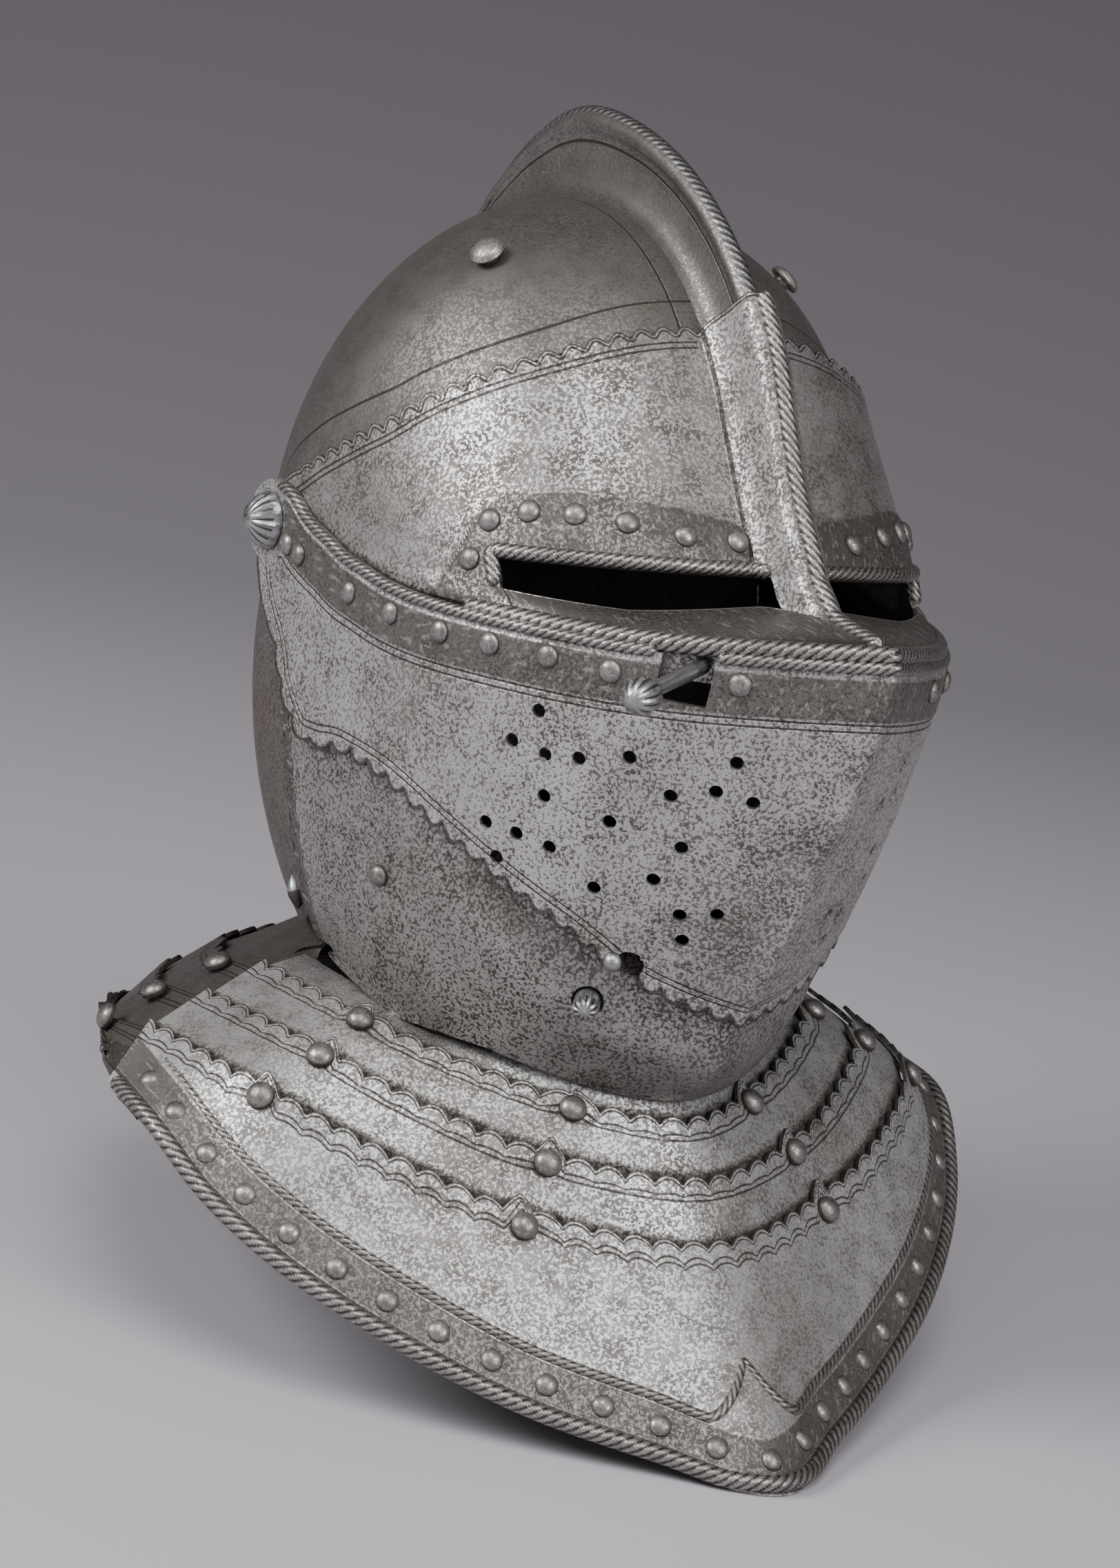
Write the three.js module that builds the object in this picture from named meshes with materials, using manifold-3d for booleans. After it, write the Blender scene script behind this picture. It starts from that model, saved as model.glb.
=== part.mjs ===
// A close helmet: a combed skull, a visor, an upper and a lower bevor on two shared pivots, and a flared
// gorget of overlapping plates round the neck. Lengths are millimetres, angles are degrees.
//
// The pieces are drawn in the helmet's own frame: x to the wearer's left, f forward, z up, with the
// middle of the pivot axis at the origin. place(x, f, z) turns that into the scene's X, -Y, Z, so the
// face looks along -Y. The whole helmet is then leaned back until the tip of the front gorget plate and
// the lower edge of the rear one stand on the ground.
import * as THREE from 'three';
import { mergeVertices } from 'three/addons/utils/BufferGeometryUtils.js';
import Module from 'manifold-3d';

const wasm = await Module();
wasm.setup();

// ---- driving dimensions -------------------------------------------------------------------------
const PLATE = 1.2;              // thickness of the sheet steel
const EAR_R = 12;               // radius of each plate's round end at the pivot
const SKULL_W = 83.2;           // half widths at the pivots, from the innermost plate outwards
const LOWER_W = 84.8;
const VISOR_W = 86.5;
const UPPER_W = 88.2;
const COMB_R = 127.3;           // crest of the comb, from the pivot axis
const COMB_ARC = [27, 126];     // angles where the comb starts and ends
const BROW_EDGE = 27;           // front edge of the skull, under the visor
const FLANK_EDGE = 268;         // edge of the skull down the side of the neck
const NECK_Z = -113;            // lower edge of the skull round the neck
const RIDGE_HALF = 10;          // half width of the visor's medial ridge at its foot
const SIGHT_X = [7, 70];        // each sight runs from beside the ridge to the temple
const NOTCH_X = [37, 47];       // notch in the upper bevor's rim, on the wearer's right
const NOTCH_DEPTH = 0.14;       // as a share of the bevor's own depth
const TIP = [133, -265];        // f and z of the front gorget plate's point
const REST_SLOPE = 0.285;       // slope of the ground under the helmet, in the helmet's own frame
const REAR_FLAT = 50;           // half width of the rear plate's edge that stands on the ground
const SHINGLE = 2.6;            // how far each gorget plate's upper edge stands off the plate above
const REAR_UNDER = -4.4;        // the rear gorget plates lie this far under the front ones
const GAP = 0.35;               // running clearance between a fitting and its plate
const PIVOT_R = 2.5;            // shank of each pivot bolt, and its hole in every plate
const PIVOT_HOLE_R = 2.9;
const ROSETTE_R = 8.3;          // fluted cap on each pivot
const ROSETTE_H = 7.5;
const STUD_R = 5;               // cap of each stud on the skull
const RIVET_R = 4;              // domed rivets of the gorget
const RIVET_H = 2.6;
const RIVET_SEAT = 0.5;         // the plates bend away this much under a rivet's base
const BEVOR_RIVET_R = 3.2;
const PEG_R = 2.25;             // lifting peg of the visor
const PEG_LENGTH = 43;
const CATCH_R = 2.4;            // sprung stud that holds the upper bevor down, and its button
const CATCH_NOTCH_R = 3.25;
const BUTTON_R = 3.75;
const BUTTON_HOLE_R = 4.4;
const CATCH_DEPTH = 3.8;        // of the catch bar's middle below the plate's outer face
const CATCH_BAR = [8, 25, 1.5]; // its width, length and thickness
const LOWER_FLANK = -90.3;      // angle of the lower bevor's rear edge up the side of the neck

// ---- small tools --------------------------------------------------------------------------------
const { degToRad, lerp, clamp } = THREE.MathUtils;
const place = (x, f, z) => new THREE.Vector3(x, -f, z);
const polar = (x, rho, angle) => {
  const a = degToRad(angle);
  return place(x, rho * Math.cos(a), rho * Math.sin(a));
};

// A smooth curve through a few [at, value] pairs, held level beyond its ends.
function smooth(pairs) {
  const spline = new THREE.SplineCurve(pairs.map(([at, value]) => new THREE.Vector2(at, value)));
  const table = spline.getPoints(16 * (pairs.length - 1));
  return (at) => {
    const next = table.findIndex((p) => p.x >= at);
    if (next === 0) return table[0].y;
    if (next < 0) return table[table.length - 1].y;
    const [a, b] = [table[next - 1], table[next]];
    return lerp(a.y, b.y, (at - a.x) / (b.x - a.x));
  };
}

function bufferOf(positions) {
  const geometry = new THREE.BufferGeometry();
  geometry.setAttribute('position', new THREE.Float32BufferAttribute(positions, 3));
  return mergeVertices(geometry, 1e-4);
}

// A closed sheet: the grid of outer points, the same grid set inwards by the thickness, and a wall
// along every edge. open(i, j) leaves a cell out, which makes a slot. Rows run down and columns run
// from the wearer's right to the left, so the faces point outwards.
function sheet(grid, thickness, open = () => false) {
  const rows = grid.length;
  const cols = grid[0].length;
  const at = (i, j) => grid[clamp(i, 0, rows - 1)][clamp(j, 0, cols - 1)];
  const inner = grid.map((row, i) => row.map((p, j) => {
    const across = at(i, j + 1).clone().sub(at(i, j - 1));
    const down = at(i + 1, j).clone().sub(at(i - 1, j));
    return p.clone().addScaledVector(down.cross(across).normalize(), -thickness);
  }));
  const positions = [];
  const quad = (a, b, c, d) => {
    for (const p of [a, b, c, a, c, d]) positions.push(p.x, p.y, p.z);
  };
  const there = (i, j) => i >= 0 && j >= 0 && i < rows - 1 && j < cols - 1 && !open(i, j);
  for (let i = 0; i < rows - 1; i++) {
    for (let j = 0; j < cols - 1; j++) {
      if (!there(i, j)) continue;
      const [k, m] = [i + 1, j + 1];
      quad(grid[i][j], grid[k][j], grid[k][m], grid[i][m]);
      quad(inner[i][j], inner[i][m], inner[k][m], inner[k][j]);
      if (!there(i - 1, j)) quad(grid[i][j], grid[i][m], inner[i][m], inner[i][j]);
      if (!there(i + 1, j)) quad(grid[k][m], grid[k][j], inner[k][j], inner[k][m]);
      if (!there(i, j - 1)) quad(grid[k][j], grid[i][j], inner[i][j], inner[k][j]);
      if (!there(i, j + 1)) quad(grid[i][m], grid[k][m], inner[k][m], inner[i][m]);
    }
  }
  return bufferOf(positions);
}

// A closed body through rings of mirror-paired points, first with last, so both end faces are strips.
function loft(rings) {
  const positions = [];
  const triangle = (a, b, c) => positions.push(...a.toArray(), ...b.toArray(), ...c.toArray());
  const n = rings[0].length;
  for (let i = 0; i < rings.length - 1; i++) {
    for (let j = 0; j < n; j++) {
      const k = (j + 1) % n;
      triangle(rings[i][j], rings[i + 1][j], rings[i + 1][k]);
      triangle(rings[i][j], rings[i + 1][k], rings[i][k]);
    }
  }
  const [first, last] = [rings[0], rings[rings.length - 1]];
  for (let j = 0; j < n / 2 - 1; j++) {
    triangle(first[j], first[j + 1], first[n - 2 - j]);
    triangle(first[j], first[n - 2 - j], first[n - 1 - j]);
    triangle(last[j], last[n - 2 - j], last[j + 1]);
    triangle(last[j], last[n - 1 - j], last[n - 2 - j]);
  }
  return bufferOf(positions);
}

// A body turned round an axis, from its base outwards: [radius, height, flute] for every ring. A flute is
// the share by which every other point of the ring is drawn in.
function turned(profile, sides, base, axis) {
  const turn = new THREE.Quaternion().setFromUnitVectors(new THREE.Vector3(0, 0, 1), axis);
  const rings = profile.map(([radius, height, flute = 0]) => Array.from({ length: sides }, (_, i) => {
    const a = (2 * Math.PI * (i + 0.5)) / sides;
    const r = radius * (i % 2 ? 1 - flute : 1);
    return new THREE.Vector3(r * Math.cos(a), r * Math.sin(a), height).applyQuaternion(turn).add(base);
  }));
  return loft(rings.reverse());
}

// A round bar along an axis, used as a cutter or a pin, reaching from `low` to `high` along it.
const bar = (radius, sides, base, axis, low, high) => (
  solid(turned([[radius, low], [radius, high]], sides, base, axis)));

function solid(geometry) {
  const bare = geometry.clone();
  bare.deleteAttribute('normal');
  bare.deleteAttribute('uv');
  const merged = mergeVertices(bare, 1e-4);
  return new wasm.Manifold(new wasm.Mesh({
    numProp: 3,
    vertProperties: new Float32Array(merged.attributes.position.array),
    triVerts: new Uint32Array(merged.index.array),
  }));
}

function geometryOf(manifold) {
  const mesh = manifold.getMesh();
  const geometry = new THREE.BufferGeometry();
  geometry.setAttribute('position', new THREE.BufferAttribute(new Float32Array(mesh.vertProperties), 3));
  geometry.setIndex(new THREE.BufferAttribute(new Uint32Array(mesh.triVerts), 1));
  return geometry;
}

const helmet = new THREE.Group();
function add(name, geometry, color, roughness) {
  const mesh = new THREE.Mesh(geometry, new THREE.MeshStandardMaterial({ color, roughness, metalness: 1 }));
  mesh.name = name;
  helmet.add(mesh);
  return mesh;
}
const DARK_STEEL = ['#66656a', 0.42];
const PITTED_STEEL = ['#9c9a96', 0.5];
const RIVET_STEEL = ['#7d7a76', 0.4];
const CLEAN_STEEL = ['#a9adb0', 0.3];

// ---- sections through the pivots ----------------------------------------------------------------
// Every head plate is a fan of sections about the pivot axis. At each angle the section runs from one
// pivot over the middle to the other as (|x| / W)^p + (rho / R)^q = 1, with rho the distance from the
// axis. p = q = 2.3 is a dome; p = 1 is a prow with a sharp keel in the middle. A column is a fixed
// share of the way from the middle, 0, to the pivot, 1: it keeps its x up to SPLIT, then its rho.
const SPLIT = 0.66;
const SPLIT_X = 0.9;

function sectionPoint({ W, R, p, q }, column) {
  if (column <= SPLIT) {
    const share = (column / SPLIT) * SPLIT_X;
    return [W * share, R * (1 - share ** p) ** (1 / q)];
  }
  const rhoSplit = R * (1 - SPLIT_X ** p) ** (1 / q);
  const rho = lerp(rhoSplit, EAR_R - 3, (column - SPLIT) / (1 - SPLIT));
  return [W * (1 - (rho / R) ** q) ** (1 / p), rho];
}

const columnAtX = (x, W) => (x / W / SPLIT_X) * SPLIT;

// Rows run from the upper edge to the lower one. Each row gives its section and its angle per column.
function fanGrid(rows, columns, rowAt) {
  const signed = [...columns.slice(1).reverse().map((c) => -c), ...columns];
  const grid = [];
  for (let i = 0; i <= rows; i++) {
    grid.push(signed.map((c) => {
      const { section, angle, lift } = rowAt(i / rows, Math.abs(c));
      const [x, rho] = sectionPoint(section, Math.abs(c));
      return polar(Math.sign(c) * x, rho + (lift ? lift(x) : 0), angle);
    }));
  }
  return grid;
}

function withEars(geometry, W) {
  let body = solid(geometry);
  for (const side of [-1, 1]) {
    const ear = new THREE.CylinderGeometry(EAR_R, EAR_R, PLATE, 24);
    ear.rotateZ(Math.PI / 2);
    ear.translate(side * (W - PLATE / 2), 0, 0);
    body = body.add(solid(ear));
    const hole = bar(PIVOT_HOLE_R, 16, place(side * W, 0, 0), place(side, 0, 0), -PLATE * 2, PLATE);
    body = body.subtract(hole);
  }
  return body;
}

// Where a plate's outer face is at a given x and angle, and which way it faces there.
function onPlate(sectionOf, x, angle) {
  const at = (dx, da) => {
    const { W, R, p, q } = sectionOf(angle + da);
    return polar(x + dx, R * (1 - (Math.abs(x + dx) / W) ** p) ** (1 / q), angle + da);
  };
  const across = at(0.5, 0).sub(at(-0.5, 0));
  const up = at(0, 0.5).sub(at(0, -0.5));
  return { point: at(0, 0), normal: across.cross(up).normalize() };
}

// A cap or dome standing on a plate, just clear of it.
const standing = (profile, sides, { point, normal }) => (
  turned(profile, sides, point.clone().addScaledVector(normal, GAP), normal));

const COLUMNS = [0, 0.08, 0.16, 0.25, 0.34, 0.43, 0.52, 0.6, SPLIT, 0.72, 0.79, 0.86, 0.93, 1];

// ---- skull and comb -----------------------------------------------------------------------------
const skullR = smooth([
  [20, 109.5], [50, 107], [85, 98], [130, 90], [180, 87], [215, 98], [238, 130], [268, 156],
]);
const skullPower = smooth([
  [20, 2.3], [55, 2.25], [90, 1.78], [130, 1.5], [180, 1.48], [220, 1.8], [245, 2.3], [268, 3],
]);
const skullSection = (a) => ({ W: SKULL_W, R: skullR(a), p: skullPower(a), q: skullPower(a) });

// The lower edge is level round the neck, then turns up the flank to the pivot.
function skullLow(column) {
  for (let a = 180; a < FLANK_EDGE; a += 0.5) {
    const [, rho] = sectionPoint(skullSection(a), column);
    if (rho * Math.sin(degToRad(a)) < NECK_Z) return a;
  }
  return FLANK_EDGE;
}

function skull() {
  const low = new Map(COLUMNS.map((c) => [c, skullLow(c)]));
  const grid = fanGrid(19, COLUMNS, (v, c) => {
    const angle = lerp(low.get(c), BROW_EDGE, v);
    return { section: skullSection(angle), angle };
  });
  return withEars(sheet(grid, PLATE), SKULL_W);
}

const combCrest = smooth([
  [27, COMB_R], [60, COMB_R], [77, 126.5], [88, 119], [99, 109], [112, 98], [126, 91],
]);

// The comb is a thin web with a broad foot and a thick rolled rim.
function comb() {
  const rings = [];
  const STEPS = 17;
  for (let i = 0; i <= STEPS; i++) {
    const a = lerp(...COMB_ARC, i / STEPS);
    const foot = skullR(a) - 1;
    const crest = Math.max(combCrest(a), foot + 1.5);
    const at = (share) => lerp(foot, crest, share);
    const profile = [
      [6, foot], [3, at(0.28)], [2.2, at(0.66)], [3.2, at(0.76)], [3.2, at(0.93)], [2.2, crest],
    ];
    const left = profile.map(([x, rho]) => polar(-x, rho, a));
    const right = profile.map(([x, rho]) => polar(x, rho, a)).reverse();
    rings.push([...left, ...right]);
  }
  return loft(rings.reverse());
}

add('skull', geometryOf(skull().add(solid(comb()))), ...DARK_STEEL);

// ---- rim line shared by the visor and the upper bevor ---------------------------------------------
const upperR = smooth([
  [-95, 184], [-75, 190], [-62, 184], [-51.7, 175.3], [-49, 173.6], [-33, 171.4], [-17.6, 180.8],
  [-13.3, 183],
]);
const upperP = smooth([[-95, 3], [-75, 2.5], [-62, 1.9], [-50, 1.45], [-33, 1.32], [-13, 1]]);
const upperSection = (a) => ({ W: UPPER_W, R: upperR(a), p: upperP(a), q: 3.1 });
const rimAngle = smooth([
  [12, 50], [20.5, 2], [38, -14], [54, -17.6], [72, -18.6], [105, -17.2], [141, -15.9],
  [165, -14.6], [183, -13.6],
]);
const rhoOf = (section, column) => sectionPoint(section, column)[1];
const RIM_SECTION = { W: UPPER_W, R: 183, p: 1, q: 3.1 };

// ---- visor --------------------------------------------------------------------------------------
// Stations run down the visor: its scalloped top edge, the brow, the sight's upper and lower edges,
// the lip above the bevor's rim, and the flange that is tucked inside the bevor.
const BROW_SECTION = { W: VISOR_W, R: 112, p: 2.5, q: 2.5 };
const browAngle = smooth([[9, 80], [18, 50], [33, 35.5], [53, 28.5], [70, 27.5], [98, 26.5], [112, 28]]);
const visorTop = (c) => browAngle(rhoOf(BROW_SECTION, c));
const STATIONS = [
  { R: 112, p: 2.5, q: 2.5, crest: 130.2, angle: visorTop },
  { R: 112.6, p: 2.5, q: 2.5, crest: 130.2, mix: 0.25 },
  { R: 114, p: 2.6, q: 2.6, crest: 130.2, mix: 0.5 },
  { R: 118.5, p: 2.7, q: 2.7, crest: 134, mix: 0.75 },
  { R: 127, p: 2.6, q: 2.8, crest: 144, angle: () => -7.6 },
  { R: 133, p: 2.5, q: 2.9, crest: 152, angle: () => -12.8 },
  { R: 155, p: 1.7, q: 3, crest: 160, rim: 2.2 },
  { R: 180.5, p: 1, q: 3.1, crest: 180.5, rim: 1.1 },
  { R: 179.5, p: 1, q: 3.1, crest: 179.5, rim: 0.5 },
  { R: 176.5, p: 1, q: 3.1, crest: 176.5, rim: -0.6 },
  { R: 174.5, p: 1, q: 3.1, crest: 174.5, rim: -3.2 },
];
const UPPER_LID = 4;
const ridgeShape = smooth([[0, 1], [0.45, 0.95], [0.6, 0.5], [0.8, 0.15], [1, 0]]);

function stationAngle(index, column) {
  const station = STATIONS[index];
  const rim = rimAngle(rhoOf(RIM_SECTION, column));
  if (station.rim !== undefined) return rim + station.rim;
  const near = rim + 3 + (UPPER_LID + 1 - index) * 2.5;
  if (station.angle && index > 0) return Math.max(station.angle(column), near);
  if (station.angle) return station.angle(column);
  return lerp(visorTop(column), stationAngle(UPPER_LID, column), station.mix);
}

function visor() {
  const across = [0, 4.5, 6, SIGHT_X[0], RIDGE_HALF, 19, 28, 40, 52, 62, SIGHT_X[1]];
  const columns = across.map((x) => columnAtX(x, VISOR_W));
  columns.push(SPLIT, 0.72, 0.79, 0.86, 0.93, 1);
  const last = STATIONS.length - 1;
  const grid = fanGrid(last, columns, (v, c) => {
    const index = Math.round(v * last);
    const { R, p, q, crest } = STATIONS[index];
    const lift = (x) => (crest - R) * (x < RIDGE_HALF ? ridgeShape(x / RIDGE_HALF) : 0);
    return { section: { W: VISOR_W, R, p, q }, angle: stationAngle(index, c), lift };
  });
  const middle = columns.length - 1;
  const inSight = (j) => {
    const column = j < middle ? middle - 1 - j : j - middle;
    return column >= 3 && column <= 9;
  };
  const open = (i, j) => i === UPPER_LID && inSight(j);
  return withEars(sheet(grid, PLATE, open), VISOR_W);
}

add('visor', geometryOf(visor()), ...PITTED_STEEL);

// ---- upper bevor --------------------------------------------------------------------------------
const upperLow = smooth([
  [10, -130], [16, -108], [26, -88], [37, -83], [47, -77], [54, -69], [64, -61], [82, -54.5],
  [108, -51.4], [140, -50.6], [157, -51.7], [176, -52],
]);
function upperBevor() {
  const columns = [0, 12, 24, NOTCH_X[0], NOTCH_X[1], 56, 64, 72].map((x) => columnAtX(x, UPPER_W));
  columns.push(SPLIT, 0.72, 0.79, 0.86, 0.93, 1);
  const ROWS = 10;
  const grid = fanGrid(ROWS, columns, (v, c) => {
    const rho = rhoOf(RIM_SECTION, c);
    const share = v === 0 ? 0 : lerp(NOTCH_DEPTH, 1, (v * ROWS - 1) / (ROWS - 1));
    const angle = lerp(rimAngle(rho), upperLow(Math.min(rho, 175)), share);
    return { section: upperSection(angle), angle };
  });
  const middle = columns.length - 1;
  const open = (i, j) => i === 0 && middle - 1 - j === 3;
  return withEars(sheet(grid, PLATE, open), UPPER_W).subtract(catchNotch());
}

// ---- lower bevor --------------------------------------------------------------------------------
const lowerR = smooth([
  [-95, 155], [-91, 159], [-85, 168], [-75, 183], [-65, 181], [-58, 180.5], [-54, 175.5],
  [-52, 172.4], [-45, 168.5], [-30, 166], [-10, 166],
]);
const lowerP = smooth([[-95, 3], [-85, 2.8], [-75, 2.4], [-65, 1.8], [-58, 1.5], [-50, 1.3], [-30, 1.05]]);
const lowerSection = (a) => ({ W: LOWER_W, R: lowerR(a), p: lowerP(a), q: 3 });
const lowerTop = smooth([[10, 40], [20, 2], [45, -22], [90, -34], [165, -39]]);

// The lower edge runs round the front of the neck and then up the flank: its angle by its x.
const throatAngle = smooth([
  [0, -63.3], [30, -65.4], [48, -68], [57, -70.8], [60, -72.3], [63, -74.6], [67, -80], [70, -88],
  [73, LOWER_FLANK],
]);

function lowerBevor() {
  const grid = fanGrid(10, COLUMNS, (v, c) => {
    const low = throatAngle((LOWER_W * SPLIT_X * c) / SPLIT);
    const angle = lerp(lowerTop(rhoOf({ W: LOWER_W, R: 166, p: 1.05, q: 3 }, c)), low, v);
    return { section: lowerSection(angle), angle };
  });
  return withEars(sheet(grid, PLATE), LOWER_W)
    .subtract(bar(CATCH_NOTCH_R, 16, STUD_AT.point, CATCH_AXIS, -12, 6))
    .subtract(bar(BUTTON_HOLE_R, 16, BUTTON_AT.point, CATCH_AXIS, -12, 6))
    .subtract(hookSlot());
}

// ---- catch --------------------------------------------------------------------------------------
// A sprung bar inside the lower bevor carries a stud, which stands through a notch in the upper
// bevor's edge, and the fluted button that pushes both of them in.
const STUD_AT = onPlate(lowerSection, -32.5, -51.2);
const BUTTON_AT = onPlate(lowerSection, -36, -56.4);
const CATCH_AXIS = STUD_AT.normal.clone().add(BUTTON_AT.normal).normalize();

function catchNotch() {
  const along = BUTTON_AT.point.clone().sub(STUD_AT.point).normalize();
  const exit = bar(CATCH_NOTCH_R, 16, STUD_AT.point.clone().addScaledVector(along, 5), CATCH_AXIS, -6, 14);
  const mouth = bar(CATCH_NOTCH_R, 16, STUD_AT.point, CATCH_AXIS, -6, 14);
  return wasm.Manifold.hull([mouth, exit]);
}

function springCatch() {
  const [wide, long, thick] = CATCH_BAR;
  const along = BUTTON_AT.point.clone().sub(STUD_AT.point).projectOnPlane(CATCH_AXIS).normalize();
  const basis = new THREE.Matrix4().makeBasis(along.clone().cross(CATCH_AXIS), along, CATCH_AXIS);
  const middle = STUD_AT.point.clone().lerp(BUTTON_AT.point, 0.5).addScaledVector(CATCH_AXIS, -CATCH_DEPTH);
  const strip = new THREE.BoxGeometry(wide, long, thick);
  strip.applyMatrix4(basis).translate(middle.x, middle.y, middle.z);
  const inner = -CATCH_DEPTH;
  const stud = [[CATCH_R, inner], [CATCH_R, 6.6], [1.6, 7.6]];
  const shank = [
    [BUTTON_R - 1, inner], [BUTTON_R - 1, 1.2], [BUTTON_R, 1.2, 0.1], [BUTTON_R, 4, 0.1], [1.8, 6.2, 0.1],
  ];
  return solid(strip)
    .add(solid(turned(stud, 12, STUD_AT.point, CATCH_AXIS)))
    .add(solid(turned(shank, 16, BUTTON_AT.point, CATCH_AXIS)));
}

// ---- neck hook and its slot ---------------------------------------------------------------------
const SLOT_AT = { f: 6, z: -112 };

function hookSlot() {
  const cutter = new THREE.BoxGeometry(30, 4.5, 7);
  const { x, y, z } = place(-LOWER_W + 14, SLOT_AT.f, SLOT_AT.z);
  return solid(cutter.translate(x, y, z));
}

add('upper_bevor', geometryOf(upperBevor()), ...PITTED_STEEL);
add('lower_bevor', geometryOf(lowerBevor()), ...PITTED_STEEL);
add('spring_catch', geometryOf(springCatch()), ...CLEAN_STEEL);

// ---- gorget -------------------------------------------------------------------------------------
// The gorget flares from the neck through five rings. Each ring is half a loop, from the middle of the
// front (share 0) past the side (share 1) to the middle of the back (share 2).
const GROUND_OFF = 2.5;         // steel ground away from the rear plate's lower edge
const belowGround = (f) => TIP[1] + (TIP[0] - f) * REST_SLOPE - GROUND_OFF;
const RINGS = [
  [[[0, 76, -157], [30, 67, -153], [57, 44, -144], [67, 14, -131], [70, -8, -124]],
    [[69, -20, -120], [62, -37, -115.5], [49, -55, -111], [27, -69, -108], [0, -74, -107]]],
  [[[0, 81, -167], [28, 70, -162], [57, 52, -150], [77, 31, -138], [84, -5, -127]],
    [[81, -38, -123], [58, -75, -118], [0, -88, -114]]],
  [[[0, 88, -183], [40, 76, -175], [70, 58, -162], [92, 37, -147], [102, -5, -135]],
    [[99, -45, -131], [68, -90, -126], [0, -104, -122]]],
  [[[0, 95, -200.5], [52, 77, -189.5], [84, 62, -174], [109, 39, -157], [120, -5, -143]],
    [[115, -52, -140], [78, -103, -139], [0, -118, -138]]],
  [[[0, 133, -265], [30, 117, -255], [60, 98, -243], [89, 80, -226], [112, 61, -208], [128, 43, -189],
    [137, 25, -169], [137, 0, -158]],
    [[128, -28, -152], [110, -60, -153], [86, -92, -163], [REAR_FLAT, -119, belowGround(-119)],
      [25, -126, belowGround(-126)], [0, -128, belowGround(-128)]]],
];
const ringCurves = RINGS.map(([front, rear]) => {
  const mirrored = (points) => points.slice(1).map(([x, f, z]) => [-x, f, z]).reverse();
  const curve = (points) => (
    new THREE.CatmullRomCurve3(points.map((p) => place(...p)), false, 'centripetal'));
  const side = front[front.length - 1];
  const back = [side, ...rear];
  return {
    front: curve([...mirrored(front), ...front]),
    rear: curve([...back, ...back.slice(0, -1).reverse().map(([x, f, z]) => [-x, f, z])]),
  };
});

// A point of the flare: share runs 0 to 2 round the half loop, ring runs 0 to 4 outwards.
function flare(share, ring) {
  const at = (curves) => (share <= 1
    ? curves.front.getPointAt(0.5 + share / 2)
    : curves.rear.getPointAt((share - 1) / 2));
  const low = Math.min(Math.floor(ring), RINGS.length - 2);
  return at(ringCurves[low]).lerp(at(ringCurves[low + 1]), ring - low);
}

function flareNormal(share, ring) {
  const step = 0.02;
  const [a, b] = [Math.max(share - step, 0), Math.min(share + step, 2)];
  const [c, d] = [Math.max(ring - step, 0), Math.min(ring + step, 4)];
  const round = flare(b, ring).sub(flare(a, ring));
  if (share < step || share > 2 - step) round.set(share < 1 ? 1 : -1, 0, 0);
  return round.cross(flare(share, d).sub(flare(share, c))).normalize().negate();
}

// One gorget plate between two rings, over the given shares of each half. Its upper edge stands off the
// flare by `stand`, so that it lies over the plate above; `under` sets the whole plate inwards.
function gorgetPlate(from, to, shares, rows, stand, under = 0) {
  const mirror = (p) => new THREE.Vector3(-p.x, p.y, p.z);
  const grid = steps(0, 1, rows).map((down) => {
    const ring = lerp(from, to, down);
    const half = shares.map((share) => (
      flare(share, ring).addScaledVector(flareNormal(share, ring), lerp(stand, 0, down) + under)));
    return shares[0] === 0
      ? [...half.slice(1).reverse().map(mirror), ...half]
      : [...half, ...half.slice(0, -1).reverse().map(mirror)];
  });
  return sheet(grid, PLATE);
}

const steps = (a, b, n) => Array.from({ length: n + 1 }, (_, i) => lerp(a, b, i / n));
const FRONT_SHARES = steps(0, 1, 12);
const REAR_SHARES = steps(0.93, 2, 11);
const PLATES = [
  ['flange', 0, 1.25, 4, 0.2],
  ['lame_1', 1, 2.2, 4, SHINGLE],
  ['lame_2', 2, 3.08, 4, SHINGLE],
  ['gorget', 3, 4, 5, SHINGLE],
];

// The two big plates are ground off level where they stand.
const groundNormal = new THREE.Vector3(0, -REST_SLOPE, 1).normalize();
const groundOffset = groundNormal.dot(place(0, ...TIP)) + 0.4;
const groundOff = (geometry) => (
  geometryOf(solid(geometry).trimByPlane(groundNormal.toArray(), groundOffset)));

for (const [name, from, to, rows, stand] of PLATES) {
  const front = gorgetPlate(from, to, FRONT_SHARES, rows, stand);
  const rear = gorgetPlate(from, to, REAR_SHARES, rows, stand, REAR_UNDER);
  add(`front_${name}`, name === 'gorget' ? groundOff(front) : front, ...PITTED_STEEL);
  add(`rear_${name}`, name === 'gorget' ? groundOff(rear) : rear, ...DARK_STEEL);
}

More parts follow.
